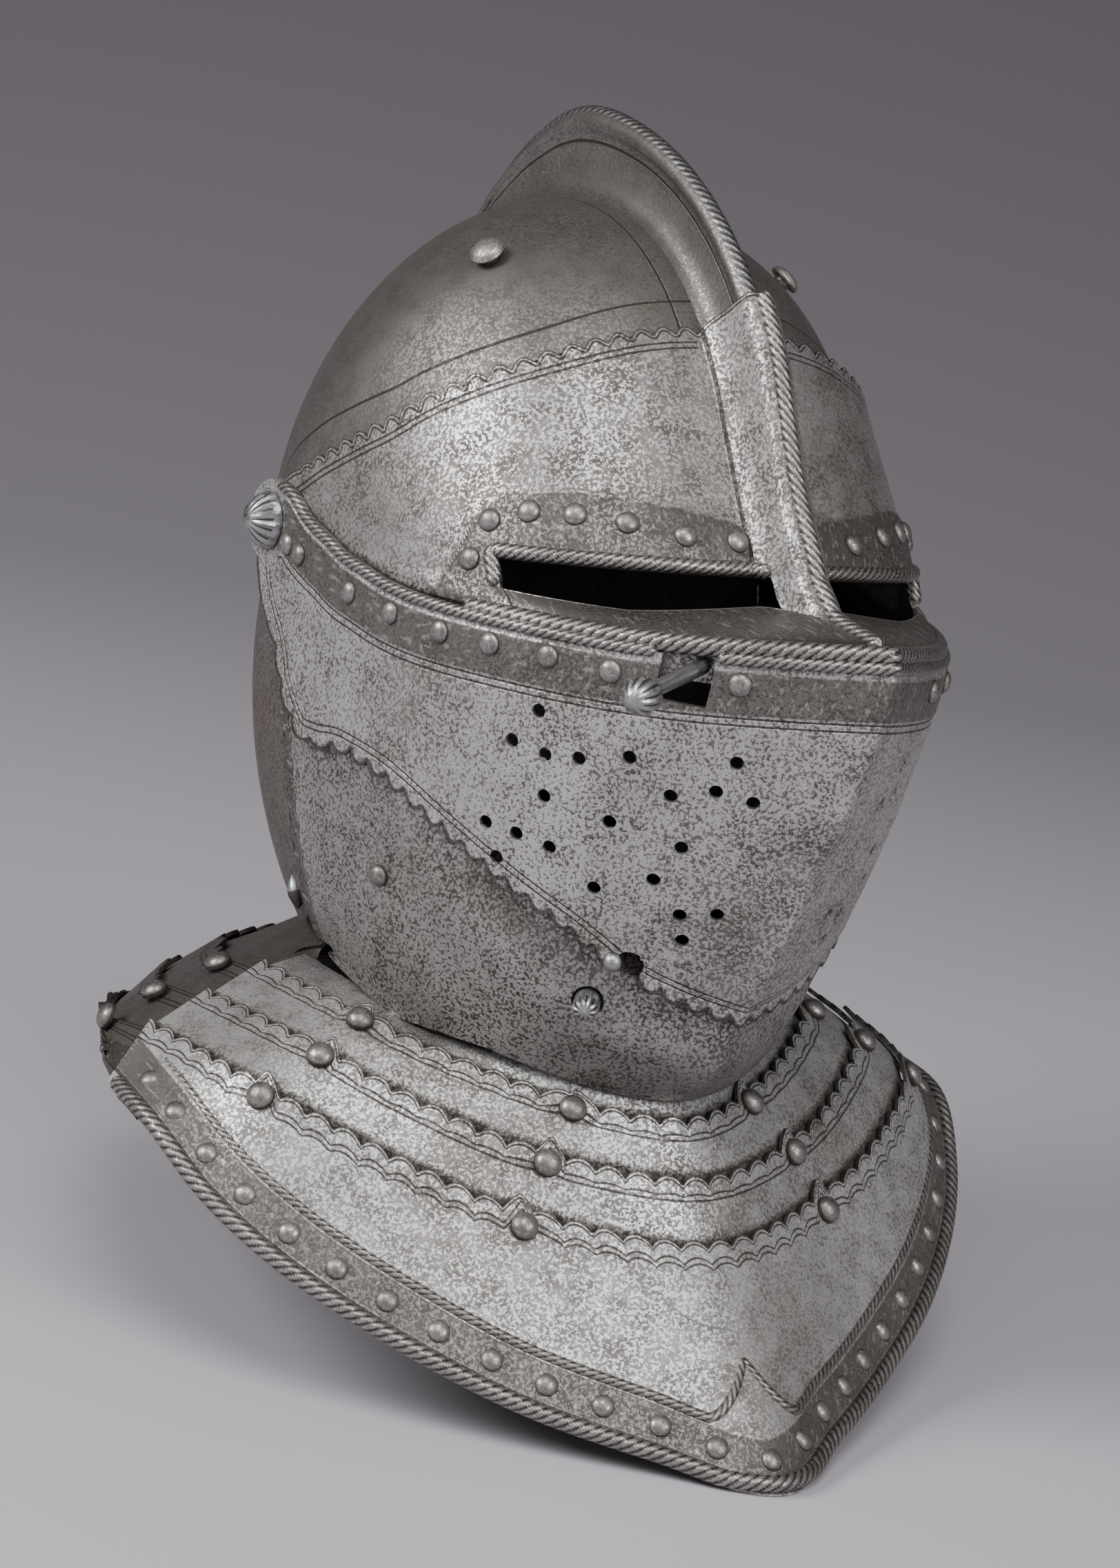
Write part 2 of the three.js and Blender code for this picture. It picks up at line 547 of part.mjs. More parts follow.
// ---- fittings -----------------------------------------------------------------------------------
for (const [side, name] of [[-1, 'right'], [1, 'left']]) {
  const bolt = [
    [PIVOT_R, SKULL_W - PLATE - UPPER_W - 1], [PIVOT_R, GAP],
    [ROSETTE_R, GAP, 0.08], [ROSETTE_R, 1.8, 0.08],
    [ROSETTE_R * 0.8, 4.8, 0.08], [ROSETTE_R * 0.4, ROSETTE_H - 0.5, 0.06], [1.2, ROSETTE_H],
  ];
  const outward = place(side, 0, 0);
  add(`pivot_bolt_${name}`, turned(bolt, 16, place(side * UPPER_W, 0, 0), outward), ...CLEAN_STEEL);
  const stud = [
    [2.6, 0], [2.6, 1.5], [STUD_R, 1.5], [STUD_R, 2.6], [STUD_R * 0.8, 4], [STUD_R * 0.35, 4.8],
  ];
  add(`skull_stud_${name}`, standing(stud, 12, onPlate(skullSection, side * 49.5, 53)), ...CLEAN_STEEL);
  const rivet = [[BEVOR_RIVET_R, 0], [BEVOR_RIVET_R * 0.8, 1.2], [BEVOR_RIVET_R * 0.35, 2]];
  add(`bevor_rivet_${name}`, standing(rivet, 12, onPlate(lowerSection, side * 75, -67.3)), ...RIVET_STEEL);
}

// The peg that lifts the visor leans out through the notch in the bevor's rim.
const PEG_AXIS = place(-0.86, 0.44, -0.25).normalize();
const peg = [
  [PEG_R, 2.6], [PEG_R * 0.9, 0.7 * PEG_LENGTH], [3.3, 0.74 * PEG_LENGTH], [5.4, 0.82 * PEG_LENGTH, 0.1],
  [5.4, 0.9 * PEG_LENGTH, 0.1], [3.2, 0.97 * PEG_LENGTH, 0.08], [1.2, PEG_LENGTH],
];
add('lifting_peg', turned(peg, 16, place(-34.8, 141.2, -41.7), PEG_AXIS), ...CLEAN_STEEL);

// Domed rivets join the gorget plates: [ring, share] of each, on both sides.
const dome = [[RIVET_R, 0], [RIVET_R * 0.86, 1.3], [RIVET_R * 0.4, RIVET_H]];
const RIVETS = {
  front: [[1.22, 0.23], [1.22, 0.68], [2.22, 0.27], [2.2, 0.69], [3.1, 0.3], [3.1, 0.73]],
  rear: [[1.2, 1.2], [2.2, 1.2], [3.12, 1.2]],
};
for (const [half, spots] of Object.entries(RIVETS)) {
  spots.forEach(([ring, share], index) => {
    const from = Math.floor(ring);
    const [, , to] = PLATES[from];
    const lap = lerp(SHINGLE, 0, (ring - from) / (to - from));
    const off = RIVET_SEAT + lap + (half === 'rear' ? REAR_UNDER : 0);
    const normal = flareNormal(share, ring);
    const point = flare(share, ring).addScaledVector(normal, off);
    const flip = new THREE.Vector3(-1, 1, 1);
    add(`${half}_rivet_${index + 1}_left`, standing(dome, 10, { point, normal }), ...RIVET_STEEL);
    const mirrored = { point: point.clone().multiply(flip), normal: normal.clone().multiply(flip) };
    add(`${half}_rivet_${index + 1}_right`, standing(dome, 10, mirrored), ...RIVET_STEEL);
  });
}

// ---- standing on the ground ---------------------------------------------------------------------
helmet.rotation.x = -Math.atan(REST_SLOPE);
helmet.updateMatrixWorld(true);
const reach = new THREE.Box3().setFromObject(helmet, true);
helmet.position.set(-(reach.min.x + reach.max.x) / 2, -(reach.min.y + reach.max.y) / 2, -reach.min.z);
export default helmet;
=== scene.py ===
# %% [markdown]
# # A close helmet
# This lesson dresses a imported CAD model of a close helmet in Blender. The CAD model fixes every size and
# every hinge. Here each steel plate is made again as a fine surface, with its scalloped edge, its roped
# rim and its incised lines, and gets a worn, pitted steel finish.

import math

import bpy
import numpy as np
from mathutils import Matrix


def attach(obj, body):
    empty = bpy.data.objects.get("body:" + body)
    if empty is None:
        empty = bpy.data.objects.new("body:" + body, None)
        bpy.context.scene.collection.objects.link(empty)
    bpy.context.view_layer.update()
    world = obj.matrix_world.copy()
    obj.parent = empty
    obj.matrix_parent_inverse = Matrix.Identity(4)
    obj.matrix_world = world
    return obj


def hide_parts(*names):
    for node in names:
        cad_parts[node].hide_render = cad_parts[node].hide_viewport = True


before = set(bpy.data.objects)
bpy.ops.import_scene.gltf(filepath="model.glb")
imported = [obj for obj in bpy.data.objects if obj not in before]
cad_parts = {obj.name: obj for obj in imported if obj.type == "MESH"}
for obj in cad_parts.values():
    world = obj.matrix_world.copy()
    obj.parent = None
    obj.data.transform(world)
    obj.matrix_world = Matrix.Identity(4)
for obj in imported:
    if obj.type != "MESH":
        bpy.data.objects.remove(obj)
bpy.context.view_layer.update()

# %% [markdown]
# ## The camera
# The helmet is easiest to draw in its own frame: x to the wearer's left, f forward and z up, in
# millimetres, with the middle of the pivot axis at the origin. It stands leaning back, so one rotation and
# one shift take that frame to the scene's metres. The camera is placed in the same frame and turned with it.
# It looks from in front and a little to the wearer's right, level with the chin, through a long lens.

# %% The helmet's own frame, and the camera
SLOPE = 0.285  # of the ground, in the helmet's own frame
LEAN = -math.atan(SLOPE)
PIVOT = np.array([0.0, 56.661, 217.998])
TURN = np.array([
    [1, 0, 0],
    [0, math.cos(LEAN), -math.sin(LEAN)],
    [0, math.sin(LEAN), math.cos(LEAN)],
])


def to_scene(points, place=True):
    """Helmet (x, f, z) in mm to scene metres: x, -f, z turned about X by the lean, then moved to the
    pivot. With place false it turns a direction and leaves its length alone."""
    points = np.asarray(points, float)
    leaned = (points * [1, -1, 1]) @ TURN.T
    return (leaned + PIVOT) / 1000 if place else leaned


camera_data = bpy.data.cameras.new("camera")
camera_data.lens = 95.0
camera_data.sensor_width = 36.0
camera = bpy.data.objects.new("camera", camera_data)
bpy.context.scene.collection.objects.link(camera)
eye = to_scene([-660.44, 1031.16, -73.77])
right_up_back = [[0.83763, 0.54604, 0.01466], [-0.01228, -0.00801, 0.99989], [-0.54610, 0.83772, 0.0]]
axes = to_scene(right_up_back, place=False)
pose = np.eye(4)
pose[:3, :3] = axes.T
pose[:3, 3] = eye
camera.matrix_world = Matrix(pose.tolist())
bpy.context.scene.camera = camera
print("camera at", eye.round(3), "m")

# %% [markdown]
# ## Curves through a few values
# A plate changes its radius and its roundness with the angle about the pivots. Each such change is a smooth
# curve through a handful of pairs: a Catmull-Rom spline, which passes through every pair without corners.

# %% Smooth curves and the section through the pivots
def smooth(*pairs):
    """A function that follows the pairs: on each stretch, half of (2b + (c-a)t + (2a-5b+4c-d)t^2 +
    (3b-a-3c+d)t^3) of the four pairs round it, read off by its first value."""
    knots = np.array([pairs[0], *pairs, pairs[-1]], float)
    t = np.linspace(0, 1, 16, endpoint=False)[:, None, None]
    a, b, c, d = knots[:-3], knots[1:-2], knots[2:-1], knots[3:]
    runs = 0.5 * (2 * b + (c - a) * t + (2 * a - 5 * b + 4 * c - d) * t**2 + (3 * b - a - 3 * c + d) * t**3)
    line = np.vstack([runs.transpose(1, 0, 2).reshape(-1, 2), knots[-1]])
    return lambda at: np.interp(at, line[:, 0], line[:, 1])


SKULL_W, LOWER_W, VISOR_W, UPPER_W = 83.2, 84.8, 86.5, 88.2  # half widths at the pivots, inner to outer
SPLIT, SPLIT_X, EAR_RHO = 0.66, 0.9, 9.0
MM_PER_DEGREE = math.pi / 180  # of arc, for each mm of radius


def section(column, W, R, p, q):
    """x and rho along the section (x/W)^p + (rho/R)^q = 1. The column runs from the middle, 0, to the
    pivot, 1: up to SPLIT it sets x, and past it rho."""
    column = np.abs(column)
    x = W * np.minimum(column / SPLIT, 1) * SPLIT_X
    rho = R * (1 - (x / W) ** p) ** (1 / q)
    at_split = R * (1 - SPLIT_X**p) ** (1 / q)
    side = at_split + (EAR_RHO - at_split) * (column - SPLIT) / (1 - SPLIT)
    far = column > SPLIT
    rho = np.where(far, side, rho)
    return np.where(far, W * np.clip(1 - (rho / R) ** q, 0, 1) ** (1 / p), x), rho


def polar(x, rho, angle):
    """Helmet points at distance rho from the pivot axis, at an angle above straight ahead."""
    a = np.radians(angle)
    return np.stack(np.broadcast_arrays(x, rho * np.cos(a), rho * np.sin(a)), axis=-1)


def even_columns(edge, count, keep=()):
    """Columns from -1 to 1, spaced evenly along edge(column), with the kept ones met exactly."""
    fine = np.linspace(-1, 1, 4001)
    length = np.concatenate([[0], np.cumsum(np.linalg.norm(np.diff(edge(fine), axis=0), axis=1))])
    columns = np.interp(np.linspace(0, length[-1], count), length, fine)
    for c in keep:
        columns[np.argmin(np.abs(columns - c))] = c
    return columns, np.interp(columns, fine, length)


def surface_point(x, angle, W, radius, power, q):
    """The same section read the other way: the helmet point at a given x and angle."""
    return polar(x, radius(angle) * (1 - (np.abs(x) / W) ** power(angle)) ** (1 / q), angle)


print("half widths at the pivots:", SKULL_W, LOWER_W, VISOR_W, UPPER_W, "mm")

# %% [markdown]
# ## From a grid to a steel plate
# Real plate has a thickness, which shows at every edge and hole. Each plate here is one grid of points for
# its outer face. The inner face is the same grid set back along the surface's normal, and walls close every
# edge, so there is no need for a Solidify modifier to guess. Distances from the worked edges are kept at
# every point as marks, and the finish uses them to draw the incised lines.

# %% Shells, and the marks they carry
PLATE = 1.2  # thickness of the sheet, mm
FLOOR = 0.0002  # lowest height of any vertex, m
PIECES = {}


def mesh_piece(name, verts, quads, body, stands_for=(), marks=None, sharp=38):
    """Puts vertices (metres) and quads into a mesh that rides on a body. marks holds values per vertex."""
    verts = np.asarray(verts, np.float32)
    verts[:, 2] = np.maximum(verts[:, 2], FLOOR)
    mesh = bpy.data.meshes.new(name)
    mesh.vertices.add(len(verts))
    mesh.vertices.foreach_set("co", verts.ravel())
    mesh.loops.add(quads.size)
    mesh.loops.foreach_set("vertex_index", quads.astype(np.int32).ravel())
    mesh.polygons.add(len(quads))
    mesh.polygons.foreach_set("loop_start", np.arange(0, quads.size, 4, dtype=np.int32))
    for mark, values in (marks or {}).items():
        layer = mesh.attributes.new(mark, "FLOAT", "POINT")
        layer.data.foreach_set("value", np.asarray(values, np.float32).ravel())
    mesh.update(calc_edges=True)
    mesh.validate()
    mesh.shade_smooth()
    mesh.set_sharp_from_angle(angle=math.radians(sharp))
    piece = bpy.data.objects.new(name, mesh)
    bpy.context.scene.collection.objects.link(piece)
    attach(piece, body)
    if stands_for:
        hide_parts(*stands_for)
    PIECES[name] = piece
    print(f"{name}: {len(verts)} points, {len(quads)} quads")
    return piece


def facing(grid):
    """Unit outward normal at each grid point: the slope down the rows crossed with the slope across."""
    n = np.cross(np.gradient(grid, axis=0), np.gradient(grid, axis=1))
    return n / np.maximum(np.linalg.norm(n, axis=-1, keepdims=True), 1e-9)


def shell(name, grid, body, stands_for=(), marks=None, is_open=None, lift=None):
    """A plate from helmet points grid[row, column]: rows run down, columns from the wearer's right to the
    left. lift pushes the outer face out along its normal, and is_open leaves cells out."""
    outer = to_scene(grid)
    normal = facing(outer)
    inner = outer - normal * PLATE / 1000
    if lift is not None:
        outer = outer + normal * lift[..., None] / 1000
    rows, cols = grid.shape[:2]
    total = rows * cols
    at = np.arange(total).reshape(rows, cols)
    a, b, c, d = at[:-1, :-1], at[1:, :-1], at[1:, 1:], at[:-1, 1:]
    there = np.ones((rows - 1, cols - 1), bool) if is_open is None else ~is_open
    edge = np.pad(there, 1)
    walls = [
        (edge[:-2, 1:-1], (a, d, d + total, a + total)), (edge[2:, 1:-1], (c, b, b + total, c + total)),
        (edge[1:-1, :-2], (b, a, a + total, b + total)), (edge[1:-1, 2:], (d, c, c + total, d + total)),
    ]
    faces = [np.stack([a, b, c, d], -1)[there], np.stack([a, d, c, b], -1)[there] + total]
    faces += [np.stack(quad, -1)[there & ~beyond] for beyond, quad in walls]
    quads = np.concatenate(faces)
    used, quads = np.unique(quads, return_inverse=True)
    both = {k: np.concatenate([v.ravel(), v.ravel()])[used] for k, v in (marks or {}).items()}
    verts = np.concatenate([outer.reshape(-1, 3), inner.reshape(-1, 3)])[used]
    return mesh_piece(name, verts, quads.reshape(-1, 4), body, stands_for, both)


def distance(grid, line):
    """Distance in mm from each grid point to the nearest point of a line: |g|^2 + |l|^2 - 2 g.l, at its
    smallest along the line."""
    g, l = grid.reshape(-1, 3), line.reshape(-1, 3)
    square = (g**2).sum(1)[:, None] + (l**2).sum(1) - 2 * g @ l.T
    return np.sqrt(np.maximum(square.min(1), 0)).reshape(grid.shape[:-1])


def scallop(along, pitch=8.0, depth=2.2):
    """How far a scalloped edge stands back at each place along it: bites shaped like the absolute value
    of a cosine, so round lobes meet in sharp little cusps."""
    return depth * (1 - np.abs(np.cos(np.pi * along / pitch)) ** 0.7)


print("a scallop stands back by", scallop(np.array([0, 2, 4])).round(2), "mm over half its length")

# %% [markdown]
# ## Ropes, domes and turned fittings
# Armourers filed a turned edge with slanting nicks, so that it looks like a rope. A rope here is a round
# profile carried along a path, with its radius drawn in along a slanting line at every pitch. Rivets and
# knobs are a profile turned round their own axis. All of them are written as whole arrays.

# %% Ropes and turned shapes
def ringed(name, rings, body, stands_for=(), marks=None, sharp=50):
    """A closed body through rings[way, round] of scene points in mm, each ring running the same way round
    as a right-hand screw that moves on. The two ends are closed with strips of quads."""
    n, m = rings.shape[:2]
    at = np.arange(n * m).reshape(n, m)
    nxt = np.roll(at, -1, axis=1)
    quads = np.stack([at[:-1], nxt[:-1], nxt[1:], at[1:]], -1).reshape(-1, 4)
    k = np.arange(m // 2 - 1)
    first, last = (np.stack([r[k], r[k + 1], r[m - 2 - k], r[m - 1 - k]], -1) for r in (at[0], at[-1]))
    verts = rings.reshape(-1, 3) / 1000
    quads = np.concatenate([quads, first[:, ::-1], last])
    return mesh_piece(name, verts, quads, body, stands_for, marks, sharp)


def tube(name, path, normals, body, slot, radius=1.6, pitch=2.6, nick=0.2, strands=5, sides=24, steps=6):
    """A rope along helmet points: radius times 1 - nick * max(0, cos(2 pi s / pitch + strands * angle))^3,
    with s the distance along and the angle measured round the path from its normal."""
    path = to_scene(path) * 1000
    normals = to_scene(normals, place=False)
    seg = np.concatenate([[0], np.cumsum(np.linalg.norm(np.diff(path, axis=0), axis=1))])
    s = np.linspace(0, seg[-1], int(seg[-1] / pitch * steps))
    line = np.stack([np.interp(s, seg, path[:, k]) for k in range(3)], -1)
    up = np.stack([np.interp(s, seg, normals[:, k]) for k in range(3)], -1)
    thick = np.interp(s, seg, np.broadcast_to(radius, seg.shape))
    along = np.gradient(line, axis=0)
    along /= np.linalg.norm(along, axis=1, keepdims=True)
    side = np.cross(along, up)
    side /= np.linalg.norm(side, axis=1, keepdims=True)
    up = np.cross(side, along)
    turn = np.linspace(0, 2 * np.pi, sides, endpoint=False)
    wave = np.maximum(0, np.cos(2 * np.pi * s[:, None] / pitch + strands * turn)) ** 3
    taper = np.clip(np.minimum(s, s[-1] - s) / 1.5, 0.002, 1) ** 0.5
    r = (thick * taper)[:, None] * (1 - nick * wave)
    ring = np.cos(turn)[:, None] * up[:, None] + np.sin(turn)[:, None] * side[:, None]
    return ringed(name, line[:, None] + r[..., None] * ring, body, marks={"nick": wave}, sharp=60)


HEAVY = dict(pitch=3.0, nick=0.22, strands=6, sides=28)  # the boldest ropes


def basis(axis):
    """Each axis as a unit vector, with two more unit vectors square to it."""
    axis = axis / np.linalg.norm(axis, axis=-1, keepdims=True)
    other = np.where(np.abs(axis[..., 2:3]) < 0.9, [0, 0, 1.0], [1.0, 0, 0])
    u = np.cross(other, axis)
    u /= np.linalg.norm(u, axis=-1, keepdims=True)
    return axis, u, np.cross(axis, u)


def turned(name, centres, directions, profile, body, sides=20, flutes=0, stands_for=(), sharp=40):
    """Copies of one turned shape: profile rows are radius, height and flute depth. A flute pulls the
    radius in by depth * |sin(flutes * angle / 2)|, so sharp ribs stand between round hollows."""
    centres = to_scene(np.atleast_2d(centres)) * 1000
    directions = to_scene(np.atleast_2d(directions), place=False)
    profile = np.array([row if len(row) == 3 else (*row, 0.0) for row in profile], float)
    axis, u, v = basis(directions)
    turn = np.linspace(0, 2 * np.pi, sides, endpoint=False)
    hollow = np.abs(np.sin(flutes * turn / 2)) if flutes else np.zeros(sides)
    r = profile[:, None, 0] * (1 - profile[:, None, 2] * hollow)
    across, aslant = (r * np.cos(turn))[..., None], (r * np.sin(turn))[..., None]
    spread = u[:, None, None] * across + v[:, None, None] * aslant
    points = centres[:, None, None] + spread + axis[:, None, None] * profile[None, :, None, 1:2]
    n, rings = len(centres), len(profile)
    at = np.arange(n * rings * sides).reshape(n, rings, sides)
    nxt = np.roll(at, -1, axis=2)
    quads = np.stack([at[:, :-1], nxt[:, :-1], nxt[:, 1:], at[:, 1:]], -1).reshape(-1, 4)
    k = np.arange(sides // 2 - 1)
    cap = np.stack([at[:, :, k], at[:, :, k + 1], at[:, :, sides - 2 - k], at[:, :, sides - 1 - k]], -1)
    quads = np.concatenate([quads, cap[:, -1].reshape(-1, 4), cap[:, 0, :, ::-1].reshape(-1, 4)])
    height = np.broadcast_to(profile[None, :, None, 1], (n, rings, sides)) / profile[:, 1].max()
    fluted = np.minimum(profile[:, 2] / 0.1, 1)[None, :, None]
    # painted shade in the bottoms of the flutes, read by the finish as the nick mark
    shade = np.broadcast_to(hollow * fluted, (n, rings, sides))
    marks = {"rise": height, "nick": shade}
    return mesh_piece(name, points.reshape(-1, 3) / 1000, quads, body, stands_for, marks, sharp)


print("a heavy rope has", int(40 / HEAVY["pitch"]), "nicks in 40 mm")

# %% [markdown]
# ## Worn steel
# The visor, bevors and gorget are bright grey steel, pitted all over by old rust; the skull, comb and nape
# are darker and smoother. One recipe makes all of them. Fine noise cut off sharply gives the pits, broad
# noise gives the brown patina, and the marks on each plate place its incised lines and its dark bands, so
# the lines stay crisp however coarse the mesh is.

# %% A short way to write a finish
SCENE_MM = 1000.0


class Nodes:
    """A short way to write a node tree: each call adds one node and links what it is given."""

    def __init__(self, name):
        self.material = bpy.data.materials.new(name)
        self.material.use_nodes = True
        self.tree = self.material.node_tree
        self.shader = self.tree.nodes["Principled BSDF"]

    def put(self, value, socket):
        """Links an output to the socket, or sets the socket's own value."""
        if isinstance(value, bpy.types.NodeSocket):
            self.tree.links.new(value, socket)
        else:
            socket.default_value = value

    def math(self, operation, *values, clamp=False):
        """One sum, product or other operation on the values."""
        node = self.tree.nodes.new("ShaderNodeMath")
        node.operation, node.use_clamp = operation, clamp
        for value, socket in zip(values, node.inputs):
            self.put(value, socket)
        return node.outputs[0]

    def ramp(self, value, low, high, start=0.0, end=1.0):
        """start below low and end above high, with a smooth S between them."""
        node = self.tree.nodes.new("ShaderNodeMapRange")
        node.interpolation_type = "SMOOTHSTEP"
        for v, socket in zip((value, low, high, start, end), node.inputs):
            self.put(v, socket)
        return node.outputs[0]

    def mix(self, share, one, other):
        """One colour, or the other as the share nears 1."""
        node = self.tree.nodes.new("ShaderNodeMix")
        node.data_type = "RGBA"
        self.put(share, node.inputs["Factor"])
        self.put(one, node.inputs[6])
        self.put(other, node.inputs[7])
        return node.outputs[2]

    def where(self):
        """The place on the object, which moves with it."""
        return self.tree.nodes.new("ShaderNodeTexCoord").outputs["Object"]

    def noise(self, size_mm, detail=2.0, rough=0.5, stretch=None):
        """Cloudy noise about 0.5, with features of a given size."""
        node = self.tree.nodes.new("ShaderNodeTexNoise")
        spot = self.where()
        if stretch:
            mapping = self.tree.nodes.new("ShaderNodeMapping")
            mapping.inputs["Scale"].default_value = stretch
            self.put(spot, mapping.inputs["Vector"])
            spot = mapping.outputs[0]
        self.put(spot, node.inputs["Vector"])
        node.inputs["Scale"].default_value = SCENE_MM / size_mm
        node.inputs["Detail"].default_value = detail
        node.inputs["Roughness"].default_value = rough
        return node.outputs[0]

    def mark(self, name):
        """A number kept at each vertex, read back by its name."""
        node = self.tree.nodes.new("ShaderNodeAttribute")
        node.attribute_name = name
        return node.outputs["Fac"]


print("noise of 36 mm has a scale of", round(SCENE_MM / 36, 1))

# %% [markdown]
# Old steel loses its polish to pits first, then to a brown bloom over wide areas. The incised lines are
# dark.
# Shade is painted dark under an overlapping edge, at the foot of a rivet, in a rope's nicks and in a flute's
# hollows. The riveted bands were filed across before they were riveted, so they are darker and finely
# scratched.

# %% The recipe for worn steel
BROWN = (0.2, 0.16, 0.125, 1)
# the colour of painted shade
SHADE_TONE = (0.045, 0.037, 0.03, 1)
# incised lines, and some painted shade along a scalloped edge and in flute hollows
SCORED_AND_SHADE = (0.04, 0.034, 0.03, 1)
# painted shade in the hollows of a rope's nicks
NICK_SHADE = (0.05, 0.042, 0.036, 1)
BAND_DARK, BAND_SCRATCH = (0.095, 0.082, 0.072, 1), (0.40, 0.38, 0.36, 1)


def steel(name, light, dark, rough=0.42, pits=0.5, patina=0.5, lines=(), bands=(), painted_shade=(), nicks=False):
    """Steel in two tones. lines are (mark, distance, half width) in mm, cut in and dark, a few of them
    painted shade; bands are (mark, from, to), darker and scratched; the painted shade is (mark, width), dark
    from the mark's zero out; nicks paints shade into a rope's cuts. Two marks are shares and not mm: rise,
    of a turned piece's height, and nick, of a cut's depth."""
    n = Nodes(name)
    broad = n.noise(36, 4, 0.6)
    cloud = n.ramp(n.noise(8, 3, 0.6), 0.36, 0.68)
    fine = n.math("ADD", n.noise(1.0, 5, 0.75), n.math("MULTIPLY", n.math("SUBTRACT", broad, 0.5), 0.12))
    pit = n.ramp(fine, 0.48, 0.525)
    deep = n.math("MULTIPLY", pit, n.math("ADD", 0.72, n.math("MULTIPLY", cloud, 0.28)))
    worn = n.math("MULTIPLY", deep, pits, clamp=True)
    colour = n.mix(cloud, light, [c * 0.86 for c in light[:3]] + [1])
    rust = n.ramp(broad, 0.48, 0.72)
    colour = n.mix(n.math("MULTIPLY", rust, patina * 0.5, clamp=True), colour, BROWN)
    colour = n.mix(worn, colour, dark)
    height = n.math("MULTIPLY", worn, -0.4)
    gloss = n.math("ADD", rough, n.math("MULTIPLY", worn, 0.28))
    scratch = n.ramp(n.noise(0.9, 2, 0.5, stretch=(1, 0.12, 0.5)), 0.58, 0.66)
    for mark, low, high in bands:
        at = n.mark(mark)
        past, short = n.ramp(at, low - 0.4, low + 0.4), n.ramp(at, high - 0.4, high + 0.4, 1.0, 0.0)
        inside = n.math("MULTIPLY", past, short)
        tone = n.mix(n.math("MULTIPLY", scratch, 0.6), BAND_DARK, BAND_SCRATCH)
        colour = n.mix(n.math("MULTIPLY", inside, 0.78), colour, tone)
        height = n.math("ADD", height, n.math("MULTIPLY", inside, -0.5))
    # painted shade: dark from the mark's zero out to the width, under overlapping edges and at the feet of
    # raised parts
    for mark, wide in painted_shade:
        shade_share = n.ramp(n.mark(mark), 0.0, wide, 1.0, 0.0)
        colour = n.mix(n.math("MULTIPLY", shade_share, 0.85), colour, SHADE_TONE)
        gloss = n.math("ADD", gloss, n.math("MULTIPLY", shade_share, 0.3))
    for mark, at, half in lines:
        gap = n.math("ABSOLUTE", n.math("SUBTRACT", n.mark(mark), at))
        line = n.ramp(gap, half * 0.35, half, 1.0, 0.0)
        colour = n.mix(n.math("MULTIPLY", line, 0.85), colour, SCORED_AND_SHADE)
        height = n.math("ADD", height, n.math("MULTIPLY", line, -1.0))
    # painted shade in a rope's nicks, where the cut is deepest
    if nicks:
        cut = n.ramp(n.mark("nick"), 0.05, 0.5)
        colour = n.mix(n.math("MULTIPLY", cut, 0.85), colour, NICK_SHADE)
    bump = n.tree.nodes.new("ShaderNodeBump")
    bump.inputs["Strength"].default_value = 0.6
    bump.inputs["Distance"].default_value = 0.0006
    n.put(height, bump.inputs["Height"])
    n.put(bump.outputs[0], n.shader.inputs["Normal"])
    n.put(colour, n.shader.inputs["Base Color"])
    n.put(gloss, n.shader.inputs["Roughness"])
    n.shader.inputs["Metallic"].default_value = 1.0
    return n.material


print("grime, scored lines and cuts are darker than", BROWN[:3])
